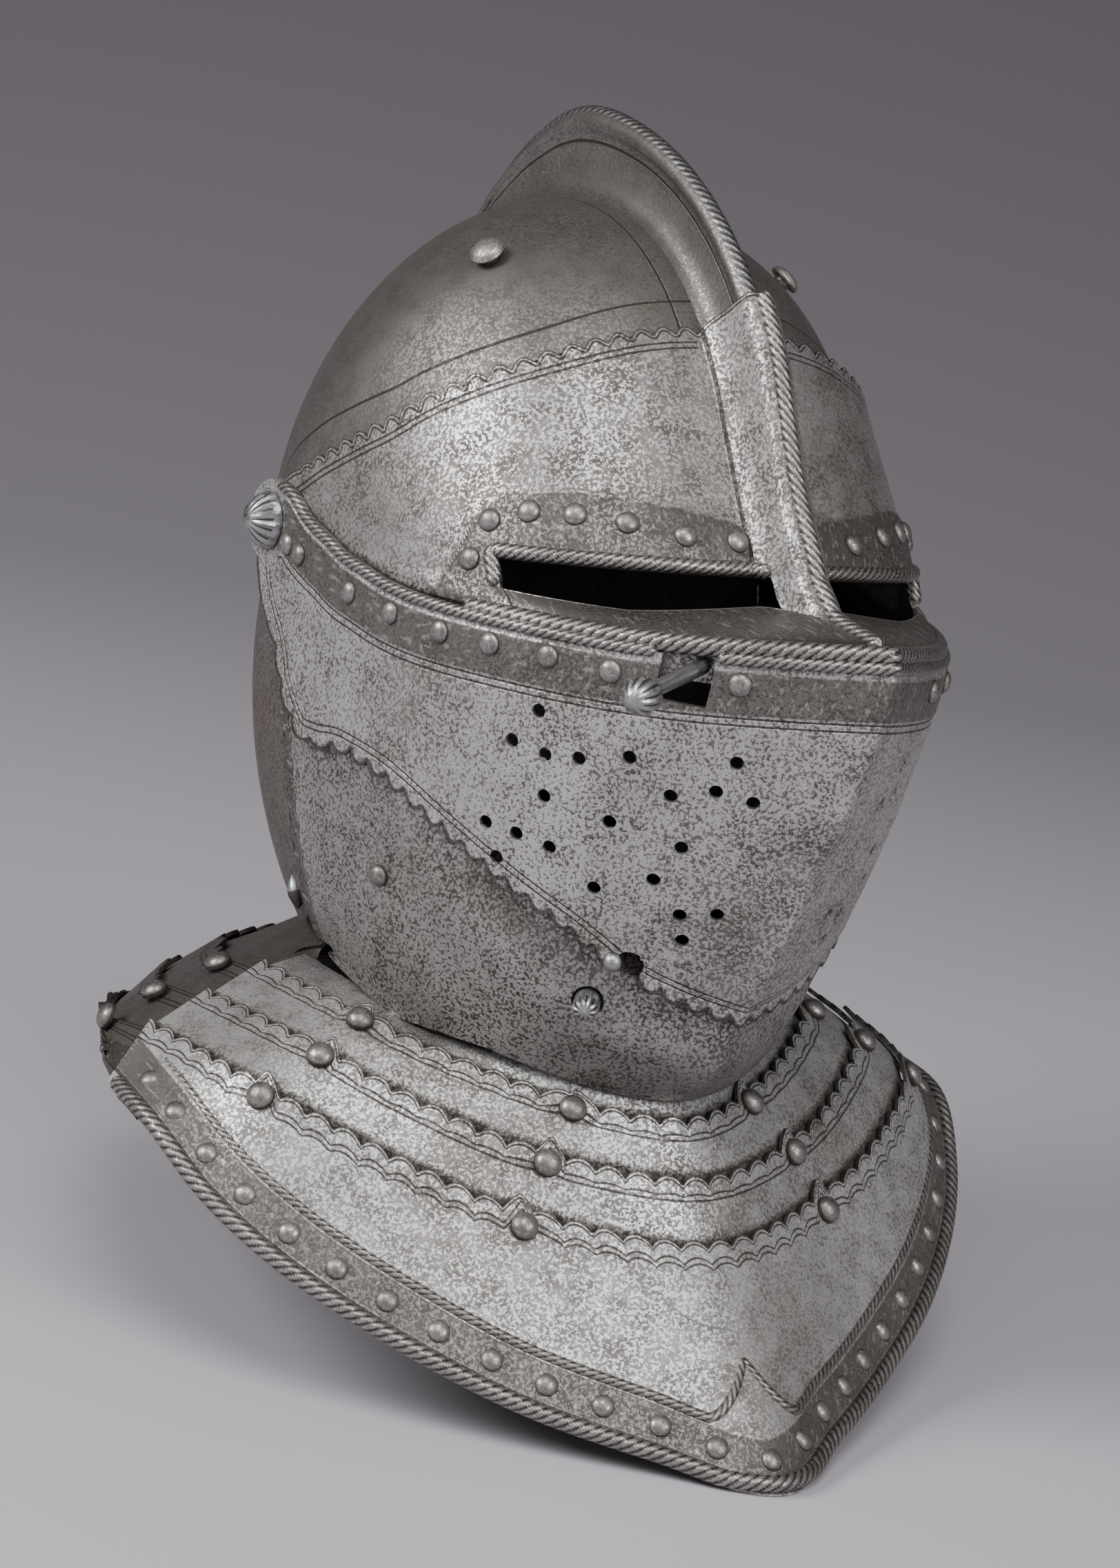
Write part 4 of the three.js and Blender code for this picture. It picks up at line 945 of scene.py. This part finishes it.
def flare(share, ring):
    """Gorget points: share runs from -1 to 1 over the front, and from 1 to 3 round the back to the same
    side. ring runs from 0 at the neck to 4 at the border."""
    share = np.where(share > 3, share - 4, share)
    rings = np.stack([np.where((share <= 1)[..., None], a((share + 1) / 2), b((share - 1) / 2))
                      for a, b in zip(front_curves, rear_curves)])
    low = np.clip(ring.astype(int), 0, 3)
    pick = np.indices(low.shape)
    a, b = rings[(low, *pick)], rings[(low + 1, *pick)]
    return a + (b - a) * (ring - low)[..., None]


PLATES = {
    "flange": (0, 1.25, 0.2),
    "lame_1": (1, 2.2, SHINGLE),
    "lame_2": (2, 3.08, SHINGLE),
    "gorget": (3, 4, SHINGLE),
}
print("gorget tip at", to_scene(flare(np.zeros(1), np.full(1, 4.0)))[0].round(3))

# %% [markdown]
# Each plate's upper edge is cut in scallops that rise to a small pointed arch over every rivet, with a pair
# of lines cut along it. The distance from that edge is measured down the plate and kept as a mark.

# %% Gorget plates
def gorget_plate(name, low, high, stand, front, rows, cols, look):
    """Points of the flare between two rings, stood off by stand at the upper edge. Down from that edge the
    points slide by the scallop's depth, less an arch of height 4 * (1 - distance / 9)^2 at each rivet."""
    side = (-1.0, 1.0) if front else (0.93, 3.07)
    share = np.linspace(*side, cols)
    down = np.linspace(0, 1, rows)[:, None]
    ring = low + (high - low) * down + 0 * share
    if not front and name == "flange":
        ring = ring - 0.45 * (1 - down)
    grid = flare(share + 0 * ring, ring)
    out = (facing(to_scene(grid)) @ TURN) * [1, -1, 1]
    grid = grid + out * (stand * (1 - down)[..., None] - (0 if front else REAR_UNDER))
    along = np.concatenate([[0], np.cumsum(np.linalg.norm(np.diff(grid[0], axis=0), axis=1))])
    steps = np.linalg.norm(np.diff(grid, axis=0), axis=2)
    reach = np.concatenate([0 * steps[:1], np.cumsum(steps, axis=0)])
    left = {"lame_1": (0.23, 0.68), "lame_2": (0.27, 0.69), "gorget": (0.3, 0.73)}.get(name, ())
    spots = [s * a for a in left for s in (-1, 1)] if front else [1.2, 2.8]
    half = along[-1] / (side[1] - side[0])
    arch = sum((np.maximum(0, 1 - np.abs(share - s) * half / 9) ** 2 * 4.0 for s in spots), 0 * share)
    bite = (scallop(along, 8.5, 3.0) - arch) * np.clip((reach[-1] - 3) / 6, 0, 1)
    if name == "flange":
        bite = 0 * share
    slope = np.gradient(grid, axis=0)
    slope /= np.maximum(np.linalg.norm(slope, axis=-1, keepdims=True), 1e-9)
    slide = bite * np.clip(1 - down / 0.35, 0, 1)
    grid = grid + slope * slide[..., None]
    level = to_scene(grid) * 1000
    level[..., 2] = np.maximum(level[..., 2], 0.8)
    grid = ((level - PIVOT) @ TURN) * [1, -1, 1]
    away = 50 if name == "flange" else 0
    # covered: distance above the next plate's edge, where the painted shadow goes
    covered = (np.floor(high) - ring) * reach[-1] / (high - low)
    marks = {
        "edge": reach + arch * np.clip(1 - down / 0.5, 0, 1) + away,
        "lobe": reach + slide - bite + away,
        "rim": reach[-1] - reach + (0 if name == "gorget" else 50),
        "under": np.where(name == "gorget", 50, covered),
    }
    half_name = "front" if front else "rear"
    body, slot = ("lower_bevor", "pitted_steel") if front else ("head", "dark_steel")
    piece = shell(f"{half_name}_{name}_plate", grid, body, [f"{half_name}_{name}"], marks)
    return finish(piece, look)


for name, (low, high, stand) in PLATES.items():
    rows = 64 if name == "gorget" else 24
    gorget_plate(name, low, high, stand, True, rows, 400, "gorget" if name == "gorget" else "lame")
    gorget_plate(name, low, high, stand, False, rows, 360, "nape_rim" if name == "gorget" else "nape")
print("gorget plates:", 2 * len(PLATES))

# %% [markdown]
# The border of the big front plate is turned over a wire and filed as a rope. A second, finer rope runs
# inside the riveted band and rises to a cusp above the point. The rear plate has the same roped border.

# %% Gorget ropes
REAR_TRIM = 4.2  # ropes and rivets of the rear half lie this far under the flare


def flare_normals(share, ring):
    """The flare's outward normals, from a small step along the ring crossed with one down the plate."""
    step = 0.01
    a = flare(share + step, ring) - flare(share - step, ring)
    b = flare(share, np.minimum(ring + step, 4)) - flare(share, np.minimum(ring + step, 4) - 2 * step)
    n = np.cross(a, b)
    n = n / np.linalg.norm(n, axis=-1, keepdims=True)
    middle = np.array([0, 10.0, -150.0])
    away = np.sum(n * (flare(share, ring) - middle), -1, keepdims=True)
    return n * np.where(away < 0, -1, 1)


def inset(share, mm):
    """The ring number that lies mm inside the border at each share."""
    border, upper = flare(share, np.full(share.shape, 4.0)), flare(share, np.full(share.shape, 3.0))
    return 4 - mm / np.linalg.norm(border - upper, axis=-1)


def off_the_ground(path, half):
    """The path, raised where a rope of that half thickness would sink into the ground."""
    lowest = to_scene(path)[:, 2] * 1000 - half
    return path + np.outer(np.maximum(0.4 - lowest, 0), [0, 0, 1])


share = np.linspace(-0.985, 0.985, 700)
ring = inset(share, 2.0)
n = flare_normals(share, ring)
path = off_the_ground(flare(share, ring), 2.6) + n * 0.2
finish(tube("border_rope", path, n, "lower_bevor", "pitted_steel", 2.4, pitch=3.0, nick=0.22), "rope")
share = np.linspace(-0.93, 0.93, 560)
dip = 19 + 21 * np.maximum(0, 1 - np.abs(share) / 0.075) ** 1.5
ring = inset(share, dip)
n = flare_normals(share, ring)
path = flare(share, ring) + n * 0.3
finish(tube("inner_rope", path, n, "lower_bevor", "pitted_steel", 1.6, pitch=2.8), "rope")
share = np.linspace(1.02, 2.98, 800)
ring = inset(share, 2.0)
n = flare_normals(share, ring)
path = off_the_ground(flare(share, ring) - n * REAR_TRIM, 2.3)
finish(tube("rear_border_rope", path, n, "head", "dark_steel", 2.1, pitch=3.0), "dark_rope")
print("border ropes done; ropes so far:", sum("rope" in name for name in PIECES))

# %% [markdown]
# ## Rivets, studs and turned fittings
# The lining was held by rows of round-headed rivets along the bevor's rim, the sights and the gorget's
# border. Larger domes join the sliding plates. The pivots carry fluted rosettes, and the peg that lifts the
# visor, the catch and its button are turned and fluted too. Every kind is one profile turned round an axis.

# %% Rivets along the bevor's rim
OUTWARD = np.array([[-1.0, 0, 0], [1.0, 0, 0]])  # to the wearer's right and left
DOME = [(3.3, -0.6), (3.3, 0.15), (3.0, 0.8), (2.3, 1.4), (1.3, 1.8), (0.05, 1.95)]
spots = [(159, -17.3), (134, -19.1), (119, -19.6), (103, -20.8), (87, -22.4), (68, -24.1), (49, -26.3),
         (30, -27.8)]
rho_s, angle_s = np.array(spots, float).T
x_s = UPPER_W * (1 - (rho_s / upper_r(angle_s)) ** CHEEK_Q) ** (1 / upper_p(angle_s))
xs, an = np.concatenate([-x_s, x_s]), np.tile(angle_s, 2)
keep = np.abs(xs + 42) > 6
points, n = on_upper(xs, an)[keep], normal_of(on_upper, xs, an)[keep]
for rho_ear, angle_ear in ((21, -30), (13.5, -33)):
    points = np.concatenate([points, OUTWARD * 88.1 + polar(0.0, rho_ear, angle_ear)])
    n = np.concatenate([n, OUTWARD])
finish(turned("rim_rivets", points + n * 0.5, n, DOME, "upper_bevor", sides=14), "rivet")
print("rim rivets:", len(points))


# %% Rivets round the sights
def on_brow(x, angle):
    """Visor points by x and angle, found by reading a dense column of stations."""
    x, angle = np.atleast_1d(x), np.atleast_1d(angle)
    step = np.linspace(2.0, 5.0, 301)[:, None]
    _, rho, there = visor_at(column_of(x, VISOR_W), step + 0 * x)
    pick = np.argmin(np.abs(there - angle), axis=0)
    return polar(x, rho[pick, np.arange(len(x))], angle)


spots = [(74, -9.0), (70, -2.1), (63, -0.6), (54, -1), (42.5, -2), (28, -3.4), (12.7, -3.8)]
x_s, angle_s = np.array(spots, float).T
xs, an = np.concatenate([-x_s, x_s]), np.tile(angle_s, 2)
points, n = on_brow(xs, an), normal_of(on_brow, xs, an)
finish(turned("sight_rivets", points + n * 0.7, n, DOME, "visor", sides=14), "rivet")
print("sight rivets:", len(points))

# %% Rivets along the gorget's borders
BORDER_ROW = 10.8  # the rows stand this far inside the border, mm
share = np.concatenate([-np.linspace(0.07, 0.93, 13), [0.0], np.linspace(0.07, 0.93, 13)])
ring = inset(share, BORDER_ROW)
n = flare_normals(share, ring)
points = flare(share, ring) + n * 0.2
finish(turned("border_rivets", points, n, DOME, "lower_bevor", sides=14), "rivet")
share = np.linspace(1.06, 2.94, 25)
ring = inset(share, BORDER_ROW)
n = flare_normals(share, ring)
points = flare(share, ring) - n * REAR_TRIM
finish(turned("rear_border_rivets", points, n, DOME, "head", sides=14), "rivet")
print("border rivets: 27 in front and", len(points), "behind")

# %% Sliding rivets, one piece for each body
BIG = [(4.0, -0.7), (4.0, 0.2), (3.75, 0.9), (3.1, 1.7), (2.0, 2.35), (0.9, 2.62), (0.05, 2.68)]
JOINTS = {  # ring, share, and how far the overlapping plate reaches
    "front": [(1.22, 0.23, 1.2), (1.22, 0.68, 1.2), (2.22, 0.27, 1.08), (2.2, 0.69, 1.08), (3.1, 0.3, 1),
              (3.1, 0.73, 1)],
    "rear": [(1.2, 1.2, 1.2), (2.2, 1.2, 1.2), (3.12, 1.2, 1)],
}
for half, body in (("front", "lower_bevor"), ("rear", "head")):
    ring, share, reach = np.array(JOINTS[half], float).T
    n = flare_normals(share, ring)
    off = 0.85 + SHINGLE * (1 - (ring % 1) / reach) - (REAR_UNDER if half == "rear" else 0)
    points = flare(share, ring) + n * off[:, None]
    points, n = np.concatenate([points, points * flip]), np.concatenate([n, n * flip])
    stands = [f"{half}_rivet_{k + 1}_{side}" for k in range(len(ring)) for side in ("left", "right")]
    rivets = turned(f"{half}_sliding_rivets", points, n, BIG, body, sides=20,
                    stands_for=stands)
    finish(rivets, "rivet")
print("sliding rivets:", 2 * sum(map(len, JOINTS.values())))

# %% [markdown]
# Each plate ends at the pivot in a round ear, and all four on a side turn on one bolt with a fluted cap. Two
# capped studs stand on the bowl and a small rivet on each cheek.

# %% Ears, pivot caps and studs
EAR = [(12, -1.2), (12, -0.25), (11.75, 0.0), (0.05, 0.02)]
for name, W, body, slot in (("skull", SKULL_W, "head", "dark_steel"),
                            ("lower", LOWER_W, "lower_bevor", "pitted_steel"),
                            ("visor", VISOR_W, "visor", "pitted_steel"),
                            ("upper", UPPER_W, "upper_bevor", "pitted_steel")):
    disc = turned(f"{name}_ears", OUTWARD * W, OUTWARD, EAR, body, sides=48)
    finish(disc, "dark_ear" if body == "head" else "ear")
ROSETTE = [(8.3, 0.35, 0.0), (8.3, 1.6, 0.05), (7.9, 2.6, 0.12), (6.6, 4.6, 0.14), (4.6, 6.2, 0.14),
           (3.0, 7.0, 0.1), (2.6, 7.1, 0), (1.8, 7.4, 0), (0.05, 7.5, 0)]
bolts = turned("rosettes", OUTWARD * UPPER_W, OUTWARD, ROSETTE, "head", sides=96, flutes=14,
               stands_for=["pivot_bolt_left", "pivot_bolt_right"])
finish(bolts, "fluted")


def on_skull(x, angle):
    """A point of the bowl at a given x and angle."""
    return surface_point(x, angle, SKULL_W, skull_r, skull_p, skull_p(angle))


SEAT = 0.35  # caps stand this far off their plate, mm
x, angle = np.array([-49.5, 49.5]), np.full(2, 53.0)
n = normal_of(on_skull, x, angle)
STUD = [(2.6, -0.5), (2.6, 1.5), (4.6, 1.7), (5.0, 2.2), (4.7, 3.2), (3.7, 4.1), (2.1, 4.7), (0.05, 4.9)]
studs = turned("skull_studs", on_skull(x, angle) + SEAT * n, n, STUD, "head", sides=28,
               stands_for=["skull_stud_left", "skull_stud_right"])
finish(studs, "stud")
x, angle = np.array([-75.0, 75.0]), np.full(2, -67.3)
n = normal_of(on_lower, x, angle)
SMALL = [(3.2, -0.4), (3.2, 0.3), (2.8, 1.1), (1.9, 1.75), (0.05, 2.05)]
cheeks = turned("cheek_rivets", on_lower(x, angle) + SEAT * n, n, SMALL, "lower_bevor",
                sides=18, stands_for=["bevor_rivet_left", "bevor_rivet_right"])
finish(cheeks, "rivet")
print("pivot caps, studs and cheek rivets placed")

# %% [markdown]
# The peg lifts the visor. The catch is a leaf spring inside the chin with a stud, which holds the bevor down
# and shows in its notch, and a fluted button that pushes the stud in. The neck hook turns on the skull and
# holds the lower bevor's tongue.

# %% Peg, catch and neck hook
L = 43.0  # length of the peg
PEG = [(2.25, 2.6, 0), (2.2, 0.3 * L, 0), (2.05, 0.66 * L, 0), (2.6, 0.72 * L, 0), (3.4, 0.745 * L, 0.04),
       (4.7, 0.78 * L, 0.12), (5.4, 0.82 * L, 0.14), (5.5, 0.86 * L, 0.14), (5.2, 0.9 * L, 0.14),
       (4.0, 0.95 * L, 0.12), (2.4, 0.98 * L, 0.06), (1.4, 0.995 * L, 0), (0.05, L, 0)]
peg = turned("visor_peg", [[-34.8, 141.2, -41.7]], [[-0.86, 0.44, -0.25]], PEG, "visor",
             sides=72, flutes=12, stands_for=["lifting_peg"])
finish(peg, "fluted")
axis = normal_of(on_lower, np.array([-32.5, -36.0]), np.array([-51.2, -56.4])).sum(0)
axis /= np.linalg.norm(axis)
TOP = [(2.4, -3.6, 0), (2.4, 2.0, 0), (2.8, 3.4, 0), (2.9, 5.2, 0), (2.5, 6.6, 0), (1.5, 7.6, 0),
       (0.05, 8.0, 0)]
stud = turned("catch_stud", [stud_at], [axis], TOP, "spring_catch", sides=28,
              stands_for=["spring_catch"])
finish(stud, "clean")
BUTTON = [(3.75, -3.6, 0), (3.75, 1.2, 0), (3.8, 3.0, 0.12), (3.9, 4.6, 0.2), (3.5, 5.9, 0.22),
          (2.2, 6.9, 0.2), (0.05, 7.3, 0)]
button = turned("catch_button", [button_at], [axis], BUTTON, "spring_catch", sides=100,
                flutes=10)
finish(button, "fluted")
HOOK = [(0.3, -5, 0), (1.3, -3.6, 0), (2.2, -1.2, 0), (2.4, 0.6, 0), (1.7, 3, 0), (0.9, 4.6, 0),
        (0.05, 5.6, 0)]
hook = turned("neck_hook", [[-72.5, -9.5, -106.0]], [[-0.1, -0.25, 1.0]], HOOK, "head",
              sides=20)
finish(hook, "clean")
TONGUE = [(1.7, -3, 0), (1.8, 0, 0), (1.5, 3, 0), (0.8, 5.6, 0), (0.05, 7, 0)]
tongue = turned("hook_tongue", [[-69.6, 3.0, -111.5]], [[-0.45, 0.88, -0.12]], TONGUE, "lower_bevor",
                sides=16)
finish(tongue, "clean")
print("pieces so far:", len(PIECES))

# %% [markdown]
# ## Floor, light and air
# The helmet stands on a pale floor that curves up into a grey backdrop. A broad soft lamp high on the left
# gives the main light, a dimmer one fills from the right, and a third hangs high in front. A fall-off of
# light
# is painted on the paper: it darkens from the floor up the wall, so the bright plates stand out against it.

# %% Floor and backdrop
def sweep():
    """A floor that bends up into a wall: straight, then a quarter circle, then straight again."""
    radius, near, wall = 0.8, -2.5, 4.0
    turn = np.linspace(0, np.pi / 2, 24)
    bend = 1.0 + radius * np.sin(turn[1:])
    y = np.concatenate([np.linspace(near, 1.0, 30), bend, np.full(12, 1.0 + radius)])
    z = np.concatenate([np.zeros(30), radius * (1 - np.cos(turn[1:])), np.linspace(radius, wall, 13)[1:]])
    x = np.array([-4.0, 4.0])
    grid = np.stack(np.broadcast_arrays(x[None], y[:, None], z[:, None]), -1).reshape(-1, 3)
    k = np.arange(len(y) - 1) * 2
    length = np.concatenate([[0], np.cumsum(np.hypot(np.diff(y), np.diff(z)))]) + near
    return grid, np.stack([k, k + 1, k + 3, k + 2], -1), np.repeat(length, 2)


verts, quads, way = sweep()
mesh = bpy.data.meshes.new("studio_sweep")
view = axes[2]
spin = Matrix.Rotation(math.atan2(view[1], view[0]) + math.pi / 2, 3, "Z")
verts = verts @ np.array(spin).T
mesh.from_pydata(verts.tolist(), [], quads.tolist())
mesh.shade_smooth()
mesh.attributes.new("way", "FLOAT", "POINT").data.foreach_set("value", way.astype(np.float32))
sweep_object = bpy.data.objects.new("studio_sweep", mesh)
bpy.context.scene.collection.objects.link(sweep_object)
paper = Nodes("studio_paper")
# painted fall-off of light: the paper darkens from the floor up the wall
tone = paper.ramp(paper.mark("way"), -0.4, 2.2)
LIT_FLOOR, SHADED_WALL = (0.42, 0.395, 0.43, 1), (0.095, 0.084, 0.095, 1)
paper.put(paper.mix(tone, LIT_FLOOR, SHADED_WALL), paper.shader.inputs["Base Color"])
paper.shader.inputs["Roughness"].default_value = 0.9
mesh.materials.append(paper.material)
print("backdrop length:", round(float(way.max() - way.min()), 2), "m")


# %% Lamps and air
def lamp(name, place, size, power, target=(0, 0, 0.17)):
    """A round area lamp of a given diameter (m) and power (W), turned to face the target."""
    data = bpy.data.lights.new(name, "AREA")
    data.shape, data.size, data.energy = "DISK", size, power
    thing = bpy.data.objects.new(name, data)
    bpy.context.scene.collection.objects.link(thing)
    away = np.array(place, float) - np.array(target)
    back = away / np.linalg.norm(away)
    right = np.cross([0, 0, 1], back)
    right /= np.linalg.norm(right)
    pose = np.eye(4)
    pose[:3, :3] = np.stack([right, np.cross(back, right), back], 1)
    pose[:3, 3] = place
    thing.matrix_world = Matrix(pose.tolist())


toward = np.array([view[0], view[1], 0]) / math.hypot(view[0], view[1])
right_hand = np.array([-toward[1], toward[0], 0])
up = np.array([0, 0, 1.0])
lamp("key", toward * 0.6 - right_hand * 1.35 + up * 1.15, 0.9, 34)
lamp("fill", toward * 1.2 + right_hand * 1.3 + up * 1.1, 1.2, 24)
lamp("top", toward * 0.9 + up * 1.7, 1.0, 17)
world = bpy.data.worlds.new("air")
world.use_nodes = True
world.node_tree.nodes["Background"].inputs[0].default_value = (0.62, 0.62, 0.64, 1)
world.node_tree.nodes["Background"].inputs[1].default_value = 0.42
bpy.context.scene.world = world
print("lamps: key, fill, top")

# %% [markdown]
# ## The count of pieces

# %% Finish
print("pieces:", len(PIECES))
